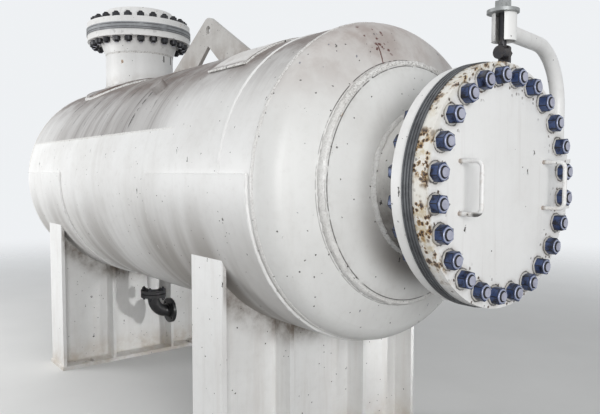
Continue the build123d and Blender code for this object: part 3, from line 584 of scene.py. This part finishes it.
# %% Dirt of the lug and the plate on top
lug_grime = (0.34, 0.32, 0.30)
lug_foot_dirt_and_shade = (0.25, 0.20, 0.165)
brown_dirt = (0.36, 0.29, 0.245)
plate_edge_shadow = (0.11, 0.085, 0.070)


def lug_dirt(paint, look):
    patch = paint.blotches(8.0, 5.0, 0.68, 0.36, 0.66)
    look = paint.mix(0.20 + 0.40 * patch, look, lug_grime)
    # Dirt and painted shade darken the lug's lower part.
    return paint.mix(patch * paint.rise(paint.lift, 0.86, 0.72) * 0.6, look, lug_foot_dirt_and_shade)


def doubler_dirt(paint, look):
    back, side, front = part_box("top_doubler")[0][0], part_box("top_doubler")[1][1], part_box("top_doubler")[1][0]
    half = (front - back) / 2
    ends = paint.rise(abs(paint.x - (back + front) / 2), half - 0.020, half)
    rim = ends.maths("MAXIMUM", ends, paint.rise(abs(paint.y), side - 0.030, side - 0.004))
    patch = paint.blotches(14.0, 5.0, 0.68, 0.34, 0.62)
    look = paint.mix(0.10 + 0.30 * patch, look, brown_dirt)
    # A painted shadow along the plate's edges, broken by noise.
    return paint.mix(rim * (0.35 + 0.6 * patch), look, plate_edge_shadow)


# %% [markdown]
# Hands have greyed the cover's two handles, brown dirt rings their feet, and the near handle has lost
# the paint of its lower end, down to dark steel.

# %% Dirt of the handles
handle_foot_colour = (0.24, 0.17, 0.12)
grip_colour = (0.45, 0.39, 0.33)
handle_low = 1.330


def handle_dirt(paint, look):
    foot = paint.rise(paint.x, cover_face + 0.022, cover_face + 0.004)
    look = paint.mix(foot * 0.75, look, handle_foot_colour)
    ragged = paint.z + paint.noise(60.0, 3.0) * 0.010
    low = paint.rise(ragged, handle_low + 0.008, handle_low) * paint.rise(paint.y, 0.0, -0.1)
    worn = low * paint.rise(paint.x, cover_face + 0.050, cover_face + 0.066)
    grip = paint.blotches(26.0, 5.0, 0.7, 0.46, 0.62) * 0.35
    look = paint.mix(grip, look, grip_colour)
    return paint.mix(worn * 0.9, look, soot_and_shade)


# %% [markdown]
# Rain splashes earth on the saddles' feet. Close under the shell they are dark with painted shade and
# some dust, and brown runs join the two. The welds hold dirt between their ripples, most of it above,
# where it settles.

# %% Dirt of the saddles and the welds
earth = (0.46, 0.39, 0.31)
saddle_run_colour = (0.44, 0.38, 0.33)
painted_shade_and_dust = (0.17, 0.14, 0.115)
mark_colour = (0.12, 0.105, 0.095)
ripple_dirt = (0.20, 0.18, 0.165)
# The end plates' outer faces lie beyond this y, and stay clean.
clean_beyond = 0.636


def saddle_dirt(paint, look):
    patch = paint.noise(7.0, 5.0, 0.66)
    foot = paint.rise(paint.z, 0.22, 0.01) * (0.35 + paint.rise(patch, 0.36, 0.64))
    look = paint.mix(foot * 0.50, look, earth)
    runs = paint.blotches(1.0, 4.0, 0.6, 0.52, 0.76, paint.stretched((9, 9, 1.1)))
    look = paint.mix(runs * 0.22, look, saddle_run_colour)
    inner = paint.rise(abs(paint.y), clean_beyond, clean_beyond - 0.006)
    # Painted shade with some dust: dark close under the shell, but not on the end plates' outer faces.
    shade = paint.rise(paint.radius, 0.87, 0.735) * (0.35 + paint.rise(patch, 0.30, 0.70)) * inner
    look = paint.mix(shade * 0.80, look, painted_shade_and_dust)
    marks = paint.spots(13.0, 0.14, 0.17, paint.stretched((1.5, 1.5, 0.30)))
    return paint.mix(marks * 0.7 * inner, look, mark_colour)


def weld_dirt(paint, look):
    ripple = paint.blotches(120.0, 4.0, 0.75, 0.44, 0.66)
    upper = paint.rise(paint.lift, 0.20, 0.46)
    return paint.mix(ripple * (0.28 + 0.46 * upper), look, ripple_dirt)


# %% [markdown]
# The sealing bands and the bolts have no paint, and the drain's fittings a thin black coat. Blotches
# of a second colour, a roughness that varies and a fine bump keep them from looking like plastic.


# %% Metals
def plain_metal(name, colour, metallic, roughness, wear_colour, wear, grain=30.0, lines=()):
    """Bare or thinly coated metal. lines are heights at which a dark line runs round the piece."""
    metal = Finish(name, Metallic=metallic)
    look = metal.mix(metal.blotches(grain, 6.0, 0.65, 0.42, 0.70) * wear, colour, wear_colour)
    for z in lines:
        broken = metal.blotches(6.0, 3.0, 0.55, 0.34, 0.50)
        look = metal.mix(metal.within(metal.z, z, 0.0025, 0.002) * broken * 0.85, look, wear_colour)
    metal.into("Base Color", look)
    metal.into("Roughness", roughness + 0.2 * metal.noise(90.0, 3.0))
    metal.bump(metal.noise(120.0, 3.0), 0.0006, 0.4)
    return metal.material


# %% [markdown]
# Now every finish is made once. The ring and the head are a little greyer than the shell, the lug is
# greyer still, and the washers are the dirtiest of all.

# %% Make the paints
shell_run = (14, 0.9, 0.9)
shell_paint = weathered("shell_paint", white, 0.26, 0.14, 0.15, 0.0, shell_run, shell_dirt, shine=0.15)
head_white, pad_white, lug_grey = (0.71, 0.71, 0.695), (0.69, 0.69, 0.675), (0.54, 0.53, 0.51)
head_paint = weathered("head_paint", head_white, 0.22, 0.20, 0.10, 0.0, extra=head_dirt)
pad_paint = weathered("pad_paint", pad_white, 0.26, 0.22, 0.10, extra=pad_dirt)
neck_paint = weathered("neck_paint", (0.86, 0.85, 0.82), 0.28, run=round_vessel, extra=neck_dirt)
flange_paint = weathered("flange_paint", grime=0.22, chips=0.35, streaks=0.10)
cover_paint = weathered("cover_paint", white, 0.13, 0.04, 0.06, 0.0, extra=cover_dirt)
nozzle_paint = weathered("nozzle_paint", grime=0.26, streaks=0.22, extra=nozzle_dirt)
neck_white = weathered("nozzle_neck_paint", white, 0.18, 0.08, 0.08, extra=nozzle_neck_dirt)
saddle_paint = weathered("saddle_paint", white, 0.20, 0.10, 0.12, 0.0, extra=saddle_dirt)
doubler_paint = weathered("doubler_paint", grime=0.2, extra=doubler_dirt)
handle_paint = weathered("handle_paint", grime=0.2, chips=0.2, extra=handle_dirt)
lug_paint = weathered("lug_paint", lug_grey, grime=0.4, rust=0.05, extra=lug_dirt)
davit_paint = weathered("davit_paint", white, 0.24, 0.22, 0.16, 0.06)
weld_paint = weathered("weld_paint", (0.76, 0.755, 0.735), 0.35, rust=0.0, run=round_vessel, extra=weld_dirt)
seam_paint = weathered("seam_paint", (0.82, 0.82, 0.81), 0.25, 0.2, run=round_vessel)
washer_paint = weathered("washer_paint", (0.58, 0.57, 0.545), 0.8, 1.0, rust=0.2, run=round_vessel)
print("materials so far:", len(bpy.data.materials))

# %% [markdown]
# The nuts of the cover are coated blue and the others black. Their corners and chamfers, the gap
# round each stud and the studs' sides are a separate near black, a painted shade, because at this
# size a real nut is read by its dark corners.

# %% Make the metals
band_steel = plain_metal("band_steel", (0.10, 0.105, 0.112), 0.35, 0.40, (0.045, 0.045, 0.048), 0.8)
band_lines = (nozzle_joint - 0.021, nozzle_joint - 0.009, nozzle_joint + 0.014)
band_wear = (0.07, 0.07, 0.075)
band_grey = plain_metal("band_grey", (0.30, 0.31, 0.32), 0.30, 0.40, band_wear, 0.45, 9.0, band_lines)
gasket_steel = plain_metal("gasket_steel", (0.30, 0.29, 0.28), 0.8, 0.35, (0.12, 0.10, 0.09), 0.6)
black_steel = plain_metal("black_steel", (0.020, 0.020, 0.024), 0.3, 0.32, (0.075, 0.060, 0.050), 0.5)
black_paint = plain_metal("black_paint", (0.009, 0.009, 0.011), 0.0, 0.30, (0.045, 0.042, 0.040), 0.45)
disc_steel = plain_metal("disc_steel", (0.30, 0.31, 0.31), 0.6, 0.35, (0.10, 0.10, 0.095), 0.6)
nut_coat = plain_metal("nut_coat", (0.040, 0.066, 0.160), 0.20, 0.24, (0.007, 0.008, 0.016), 1.3, 34.0)
nut_black = plain_metal("nut_black", (0.018, 0.019, 0.024), 0.2, 0.28, (0.006, 0.006, 0.007), 1.0, 17.0)
# A painted highlight: the blue coat, made lighter, on the nuts' flat outer faces.
nut_face_highlight = plain_metal("nut_face_highlight", (0.36, 0.39, 0.52), 0.30, 0.28, (0.12, 0.13, 0.20), 0.5)
# Painted shade for the nuts' corners and chamfers, the gap round each stud and the studs' sides.
painted_nut_shade = plain_metal("painted_nut_shade", (0.006, 0.006, 0.008), 0.0, 0.6, (0.012, 0.011, 0.011), 0.5)
stud_end = plain_metal("stud_end", (0.42, 0.43, 0.52), 0.25, 0.34, (0.25, 0.25, 0.33), 0.6)
print("materials in all:", len(bpy.data.materials))

# %% [markdown]
# Every solid from the CAD keeps its shape and gets one of these finishes in its material slots. The
# parts of the saddles and of the davit are told by their names, and the rest is shell.

# %% Paint the CAD solids
finish_of = {name: shell_paint for name in nodes}
finish_of.update({name: davit_paint for name in nodes if name.startswith("davit")})
finish_of.update({name: saddle_paint for name in nodes if "saddle" in name})
for names, finish in (
    ("front_head", head_paint),
    ("closure_pad", pad_paint),
    ("closure_neck", neck_paint),
    ("neck_flange", flange_paint),
    ("cover", cover_paint),
    ("cover_handles", handle_paint),
    ("closure_band", band_steel),
    ("nozzle_band", band_grey),
    ("closure_gasket nozzle_gasket drain_gasket", gasket_steel),
    ("davit_screw davit_pin cover_lifting_lug", black_steel),
    ("davit_hand_disc", disc_steel),
    ("drain_flange drain_mating_flange drain_elbow drain_end_flange", black_paint),
    ("drain_neck", davit_paint),
    ("nozzle_mating_flange nozzle_flange", nozzle_paint),
    ("nozzle_neck", neck_white),
    ("lifting_lug", lug_paint),
    ("top_doubler", doubler_paint),
):
    finish_of.update({name: finish for name in names.split()})
for name, solid in nodes.items():
    solid.data.materials.clear()
    solid.data.materials.append(finish_of[name])
print("painted", len(nodes), "solids")

# %% [markdown]
# ## New pieces
# Each new piece is shaped in a bmesh, in metres and in the vessel's own frame, so that its object
# can stay at the origin. One function turns such a bmesh into a piece that belongs to the vessel,
# and another copies a small shape, such as a nut, to all of its places.

# %% Turn a bmesh into a piece
sharp_edge = math.radians(35)
same_point = 1e-6


def piece(name, shape, finish):
    """Makes an object from a bmesh, which it frees. finish is a material or a tuple of them."""
    bmesh.ops.remove_doubles(shape, verts=shape.verts, dist=same_point)
    bmesh.ops.recalc_face_normals(shape, faces=shape.faces)
    data = bpy.data.meshes.new(name)
    shape.to_mesh(data)
    shape.free()
    for polygon in data.polygons:
        polygon.use_smooth = True
    data.set_sharp_from_angle(angle=sharp_edge)
    for one in finish if isinstance(finish, tuple) else (finish,):
        data.materials.append(one)
    made = bpy.data.objects.new(name, data)
    bpy.context.scene.collection.objects.link(made)
    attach(made, "root")
    print(name, len(data.polygons), "faces")


def poured(whole, source):
    """Adds a mesh to a bmesh, and returns its new vertices."""
    first = len(whole.verts)
    whole.from_mesh(source)
    whole.verts.ensure_lookup_table()
    return whole.verts[first:]


def copies(source, places):
    """Returns one bmesh with a copy of source at each place, and frees the source."""
    plain = bpy.data.meshes.new("copied")
    source.to_mesh(plain)
    source.free()
    whole = bmesh.new()
    for place in places:
        bmesh.ops.transform(whole, matrix=place, verts=poured(whole, plain))
    bpy.data.meshes.remove(plain)
    return whole


# %% [markdown]
# ## Bolts
# The joints are held by studs with a heavy hexagon nut at each end. A nut starts as a cone of six
# sides and no taper. Bevelling its outer edges gives the chamfer, and a fine bevel along its corners
# catches the light as a real corner does.


# %% Shape one nut
def bevelled(shape, edges, offset, segments):
    bmesh.ops.bevel(
        shape,
        geom=edges,
        offset=offset,
        offset_type="OFFSET",
        segments=segments,
        profile=0.5,
        affect="EDGES",
        material=-1,
    )


def nut_shape(across_flats, height):
    """A hexagon nut that stands on z = 0. Its corners and chamfer have material 1, for painted shade."""
    nut = bmesh.new()
    corner = across_flats / math.sqrt(3)
    middle_up = Matrix.Translation((0, 0, height / 2))
    bmesh.ops.create_cone(
        nut, cap_ends=True, segments=6, radius1=corner, radius2=corner, depth=height, matrix=middle_up
    )
    top = [e for e in nut.edges if all(v.co.z > height * 0.9 for v in e.verts)]
    bevelled(nut, top, across_flats * 0.055, 2)
    upright = [e for e in nut.edges if abs(e.verts[0].co.z - e.verts[1].co.z) > height * 0.5]
    bevelled(nut, upright, across_flats * 0.035, 1)
    # Material 1, on the corners and the chamfer, is painted shade.
    for face in nut.faces:
        corner_face = abs(face.normal.z) < 0.1 and face.calc_area() < across_flats * height * 0.12
        if corner_face or (0.1 < face.normal.z < 0.75):
            face.material_index = 1
    return nut


# %% [markdown]
# Rings, studs and washers are round, so each is turned like on a lathe: a profile of a few points is
# spun about Z. The ring is the flat face of a nut, lighter by a painted highlight on the blue nuts,
# and a gap of painted shade parts it from the stud. Five grooves at the stud's end are enough to read
# as a thread.


# %% Turn rings and studs
def spun(shape, axis, angle, steps, slide=(0, 0, 0)):
    """Spins a whole shape about an axis through the origin, or slides it; a full turn is merged."""
    bmesh.ops.spin(
        shape,
        geom=shape.verts[:] + shape.edges[:] + shape.faces[:],
        cent=(0, 0, 0),
        axis=axis,
        angle=angle,
        steps=steps,
        dvec=slide,
        use_merge=abs(angle) > math.tau - 1e-6,
    )


def turned(corners):
    """A closed shape of revolution about Z from its profile, given as distance and height."""
    shape = bmesh.new()
    points = [shape.verts.new((out, 0, height)) for out, height in corners]
    for pair in zip(points, points[1:]):
        shape.edges.new(pair)
    spun(shape, (0, 0, 1), math.tau, 18)
    bmesh.ops.remove_doubles(shape, verts=shape.verts, dist=same_point)
    return shape


def nut_ring(across_flats, height, stud_radius):
    """The ring on a nut's outer face, and the gap of painted shade between it and the stud."""
    out, gap, inside = across_flats * 0.455, stud_radius * 1.16, stud_radius * 0.9
    sunk, bottom, brim, top = height - 0.001, height + 0.0003, height + 0.0012, height + 0.0024
    outer_side = [(inside, sunk), (out, sunk), (out, brim), (out - 0.0012, top), (gap, top)]
    ring = turned(outer_side + [(gap - 0.0006, bottom), (inside, bottom), (inside, sunk)])
    for face in ring.faces:
        if math.hypot(*face.calc_center_median().xy) < gap:
            face.material_index = 1
    return ring


def stud_shape(radius, low, high):
    """A stud along Z from low to high, with a few thread grooves at its top end."""
    pitch = radius * 0.16
    corners = [(0, low), (radius, low), (radius, high - 5 * pitch)]
    for turn in range(5):
        corners.append((radius * 0.93, high - (4.5 - turn) * pitch))
        corners.append((radius, high - (4 - turn) * pitch))
    corners[-1] = (radius * 0.88, high)
    corners.append((0, high))
    stud = turned(corners)
    for face in stud.faces:
        if face.calc_center_median().z > high - 0.1 * pitch:
            face.material_index = 1
    return stud


def washer_shape(inside, outside):
    """A flat washer, 4 mm thick."""
    outer_side = [(outside, 0), (outside, 0.003), (outside - 0.001, 0.004)]
    return turned([(inside, 0)] + outer_side + [(inside, 0.004), (inside, 0)])


# %% [markdown]
# Bolt circles straddle the centre lines: no bolt sits exactly at the top. The nuts were tightened
# one by one, so each is turned by another angle. Its number times 37 degrees, within the 60 degrees
# after which a hexagon repeats, looks random and is the same in each run.


# %% Places on a bolt circle
def bolt_circle(centre, direction, radius, count):
    """Places on a bolt circle, with Z along the direction."""
    turn = Vector(direction).to_track_quat("Z", "Y").to_matrix().to_4x4()
    places = []
    for i in range(count):
        angle = math.tau * (i + 0.5) / count
        out = Matrix.Translation((radius * math.cos(angle), radius * math.sin(angle), 0))
        twist = Matrix.Rotation(math.radians(i * 37 % 60), 4, "Z")
        places.append(Matrix.Translation(centre) @ turn @ out @ twist)
    return places


def bolt_joint(name, near, far, circle, bolt, coat, face):
    """Nuts on both outer faces of a joint, and the studs through it. near and far are its faces."""
    stud_radius, across_flats, nut_height, overrun = bolt
    direction = (Vector(near) - Vector(far)).normalized()
    for side, centre, way in (("near", near, direction), ("far", far, -direction)):
        places = bolt_circle(centre, way, *circle)
        nuts = copies(nut_shape(across_flats, nut_height), places)
        piece(f"{name}_nuts_{side}", nuts, (coat, painted_nut_shade))
        rings = copies(nut_ring(across_flats, nut_height, stud_radius), places)
        piece(f"{name}_nut_rings_{side}", rings, (face, painted_nut_shade))
        studs = stud_shape(stud_radius, -nut_height * 0.5, nut_height + overrun)
        # The studs' sides are painted shade.
        piece(f"{name}_studs_{side}", copies(studs, places), (painted_nut_shade, stud_end))
        if name == "closure":
            washers = copies(washer_shape(stud_radius, across_flats * 0.605), places)
            piece(f"{name}_washers_{side}", washers, washer_paint)


# %% [markdown]
# The sizes are those of standard flanges and of the heavy nuts that go with them. The nuts sit on a
# flange's back, one raised face and one flange thickness away from its sealing face.

# %% Bolt up the joints
# Of each bolt: the stud's radius, the nut's width across flats, its height, and the stud's overrun.
closure_bolt = (0.01905, 0.0603, 0.037, 0.007)
nozzle_bolt = (0.0159, 0.0508, 0.031, 0.012)
drain_bolt = (0.0079, 0.027, 0.0155, 0.010)
# From the sealing faces out: the raised face, then the flange.
nozzle_raised, nozzle_thick = 0.0024, 0.0635
drain_raised, drain_thick = 0.0016, 0.0239
nozzle_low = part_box("nozzle_flange")[1][2] - nozzle_raised - nozzle_thick
nozzle_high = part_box("nozzle_mating_flange")[0][2] + nozzle_raised + nozzle_thick
drain_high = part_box("drain_flange")[0][2] + drain_raised + drain_thick
drain_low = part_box("drain_mating_flange")[1][2] - drain_raised - drain_thick
near, far = (cover_face, 0, axis_z), (cover_face - joint_depth, 0, axis_z)
bolt_joint("closure", near, far, (bolt_radius, bolt_count), closure_bolt, nut_coat, nut_face_highlight)
near, far = (nozzle_x, 0, nozzle_high), (nozzle_x, 0, nozzle_low)
bolt_joint("nozzle", near, far, (0.3429, 24), nozzle_bolt, nut_black, nut_black)
near, far = (drain_x, 0, drain_high), (drain_x, 0, drain_low)
bolt_joint("drain", near, far, (0.0762, 4), drain_bolt, nut_black, nut_black)

# %% [markdown]
# ## Welds
# A weld is a raised bead with a rough, rippled skin. A ring weld is a small circle spun round the
# vessel's axis, and every vertex is then pushed in or out by noise. Beads that follow a curved
# surface are first laid flat and then dropped onto it.

# %% Roughen and join beads
ripple_height = 0.35


def roughen(bead, centre_of, seed):
    """Moves each vertex away from or towards its bead's middle line by noise."""
    for vertex in bead.verts:
        middle_point = centre_of(vertex.co)
        away = vertex.co - middle_point
        wave = noise.noise(vertex.co * 55 + Vector((seed, 0, 0)))
        wave += 0.5 * noise.noise(vertex.co * 130 + Vector((0, seed, 0)))
        vertex.co = middle_point + away * (1 + ripple_height * wave)


def weld(name, beads, finish=weld_paint):
    """Makes one piece of all the beads, and frees them."""
    whole = bmesh.new()
    for bead in beads:
        plain = bpy.data.meshes.new("joined")
        bead.to_mesh(plain)
        bead.free()
        poured(whole, plain)
        bpy.data.meshes.remove(plain)
    piece(name, whole, finish)


# %% Ring beads
def section(place, segments, capped=False):
    """A bead's cross-section: a circle whose points a function puts in place."""
    bead = bmesh.new()
    bmesh.ops.create_circle(bead, segments=segments, radius=1.0, cap_ends=capped)
    for vertex in bead.verts:
        vertex.co = place(vertex.co.x, vertex.co.y)
    return bead


def ring_bead(x, radius, half_width, height, start=0.0, sweep=math.tau, steps=220):
    """A bead round the vessel's axis at x. Angles start at the top and turn towards +Y."""
    turn = Matrix.Rotation(-start, 4, "X")

    def place(wide, high):
        return turn @ Vector((wide * half_width, 0, radius + high * height))

    bead = section(place, 10, capped=sweep < math.tau - 1e-6)
    spun(bead, (1, 0, 0), -sweep, steps)
    bmesh.ops.translate(bead, vec=(x, 0, 0), verts=bead.verts)

    def centre_of(point):
        out = Vector((0, point.y, point.z)).normalized() * radius
        return Vector((x, out.y, out.z))

    roughen(bead, centre_of, x * 7 + radius)
    bmesh.ops.translate(bead, vec=(0, 0, axis_z), verts=bead.verts)
    return bead


def flat_ring(x, y, radius, half_width, height, steps=180):
    """A bead round a vertical axis, at height 0; it is dropped onto its surface afterwards."""
    bead = section(lambda wide, high: Vector((radius + wide * half_width, 0, high * height)), 10)
    spun(bead, (0, 0, 1), math.tau, steps)

    def centre_of(point):
        out = Vector((point.x, point.y, 0)).normalized() * radius
        return Vector((out.x, out.y, 0))

    roughen(bead, centre_of, radius * 9)
    bmesh.ops.translate(bead, vec=(x, y, 0), verts=bead.verts)
    return bead


# %% Straight beads
def straight_bead(start, end, half_width, height, up=(0, 0, 1)):
    """A bead from start to end; up is the way that it stands out of its surface."""
    start, end = Vector(start), Vector(end)
    length = (end - start).length
    forward = (end - start).normalized()
    side = forward.cross(Vector(up)).normalized()
    raised = side.cross(forward).normalized()

    def place(wide, high):
        return start + side * wide * half_width + raised * high * height

    bead = section(place, 8, capped=True)
    steps = max(2, int(length / 0.012))
    spun(bead, (0, 0, 1), 0, steps, (end - start) / steps)

    def centre_of(point):
        return start + forward * (point - start).dot(forward)

    roughen(bead, centre_of, length * 3 + start.x)
    return bead


def fillet(start, end, size, up=(0, 0, 1)):
    """A straight bead that is as high as half its width, half sunk into a corner of two plates."""
    return straight_bead(start, end, size, size, up)


# %% [markdown]
# The shell's two end welds and its round seam are low and flat. The weld round the ring on the head
# is the boldest of all, and the neck has one at its root and a low one at its flange.

# %% Round welds of the shell and the closure
ring_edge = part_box("closure_pad")[0][0] + 0.008
neck_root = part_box("closure_pad")[1][0]
hub_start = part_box("closure_neck")[1][0]
weld("weld_front_head", [ring_bead(front_tangent, shell_radius, 0.011, 0.0035)])
weld("weld_rear_head", [ring_bead(rear_tangent, shell_radius, 0.011, 0.0035)])
weld("weld_shell_seam", [ring_bead(seam_x, shell_radius, 0.010, 0.0045)], seam_paint)
weld("weld_pad_ring", [ring_bead(ring_edge, 0.5095, 0.021, 0.014)])
weld("weld_neck_root", [ring_bead(neck_root, 0.3055, 0.016, 0.013)])
weld("weld_neck_hub", [ring_bead(hub_start, 0.305, 0.009, 0.003)])

# %% [markdown]
# The long seam joins the rolled plate's two edges. It is a straight bead that stands out of the shell
# at the seam's own angle.

# %% Straight seam along the shell
seam_end = -0.275
seam_y = -math.sin(seam_turn) * shell_radius
seam_z = axis_z + seam_lift
outwards = (0, -math.sin(seam_turn), math.cos(seam_turn))
seam_line = (rear_tangent, seam_y, seam_z), (seam_end, seam_y, seam_z)
weld("weld_long_seam", [straight_bead(*seam_line, 0.006, 0.0018, outwards)])

# %% [markdown]
# Where the top nozzle meets the round shell, its welds are saddle shaped. Each is laid flat as a ring,
# and then each vertex is lifted by the shell's height at its own y.

# %% Welds of the top nozzle
pad_thick = 0.022
foot = flat_ring(nozzle_x, 0, 0.2555, 0.010, 0.010)
for vertex in foot.verts:
    vertex.co.z += axis_z + math.sqrt((shell_radius + pad_thick) ** 2 - vertex.co.y**2)
edge = flat_ring(nozzle_x, 0, 0.4025, 0.010, 0.010)
for vertex in edge.verts:
    vertex.co.z += axis_z + 0.004 + math.sqrt(shell_radius**2 - vertex.co.y**2)
hub = flat_ring(nozzle_x, 0, 0.254, 0.003, 0.008)
bmesh.ops.translate(hub, vec=(0, 0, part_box("nozzle_neck")[1][2]), verts=hub.verts)
weld("weld_nozzle", [foot, edge, hub])

# %% [markdown]
# A wear plate lies between the shell and each saddle, and is welded to the shell all round: along its
# two curved ends and its two straight upper edges.

# %% Welds round the saddles' wear plates
beads = []
for plate in ("front_wear_plate", "rear_wear_plate"):
    (back, _, _), (front, _, top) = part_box(plate)
    outer = shell_radius + 0.004
    edge_y = math.sqrt(outer**2 - (top - axis_z) ** 2)
    for x in (back, front):
        beads.append(ring_bead(x, outer, 0.007, 0.007, math.radians(87), math.radians(186), 160))
    for side in (-1, 1):
        edge_back, edge_front = (back, side * edge_y, top + 0.001), (front, side * edge_y, top + 0.001)
        beads.append(straight_bead(edge_back, edge_front, 0.006, 0.007, (0, side, 0)))
weld("weld_wear_plates", beads, seam_paint)

# %% [markdown]
# The saddle's plates are joined by small fillet welds along their edges. A bead half sunk into the
# corner of two plates reads as a fillet.

# %% Fillet welds of the saddles
beads = []
end_plate_y = 0.641
for saddle in ("front_saddle", "rear_saddle"):
    (web_back, _, _), (web_front, web_edge, _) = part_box(saddle + "_web")
    (end_back, _, low), (end_front, _, end_top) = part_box(saddle + "_ends")
    rib_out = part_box(saddle + "_ribs")[1][1]
    for x, way in ((web_back, (-1, 0, 0)), (web_front, (1, 0, 0))):
        for side in (-1, 1):
            y = side * web_edge
            beads.append(fillet((x, y, low), (x, y, end_top - 0.06), 0.006, way))
            for y in (side * rib_out, side * (rib_out - 0.024)):
                beads.append(fillet((x, y, low), (x, y, low + 0.64), 0.004, way))
        beads.append(fillet((x, -web_edge, low), (x, web_edge, low), 0.006, way))
    for side in (-1, 1):
        y = side * end_plate_y
        beads.append(fillet((end_back, y, low), (end_front, y, low), 0.005, (0, side, 0)))
weld("weld_saddles", beads, saddle_paint)

# %% [markdown]
# On top, the lug stands on its two feet, the boss has a small ring weld that leans with the shell,
# and the plate beside the lug is welded all round, along X and over the shell's curve.

# %% Fillet welds of the lug, the boss and the plate on top
beads = []
(lug_back, _, lug_foot), (lug_front, lug_side, _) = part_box("lifting_lug")
foot_length = 0.30
for side in (-1, 1):
    y, z = side * lug_side, lug_foot + 0.001
    for start, end in ((lug_back, lug_back + foot_length), (lug_front - foot_length, lug_front)):
        beads.append(fillet((start, y, z), (end, y, z), 0.006))
boss = flat_ring(0, 0, 0.0385, 0.006, 0.005, 36)
boss_turn = math.atan2(-middle("shell_boss", 1), middle("shell_boss", 2) - axis_z)
boss_foot = Matrix.Translation((middle("shell_boss", 0), 0, axis_z)) @ Matrix.Rotation(boss_turn, 4, "X")
boss_foot = boss_foot @ Matrix.Translation((0, 0, shell_radius - 0.001))
bmesh.ops.transform(boss, matrix=boss_foot, verts=boss.verts)
beads.append(boss)
(plate_back, _, plate_low), (plate_front, plate_side, _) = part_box("top_doubler")
half_turn = math.asin(plate_side / (shell_radius + 0.010))
for x in (plate_back, plate_front):
    beads.append(ring_bead(x, shell_radius + 0.002, 0.006, 0.006, -half_turn, 2 * half_turn, 90))
for side in (-1, 1):
    y, z = side * (plate_side + 0.002), plate_low + 0.004
    beads.append(fillet((plate_back, y, z), (plate_front, y, z), 0.006, (0, side, 1)))
weld("weld_top_parts", beads)
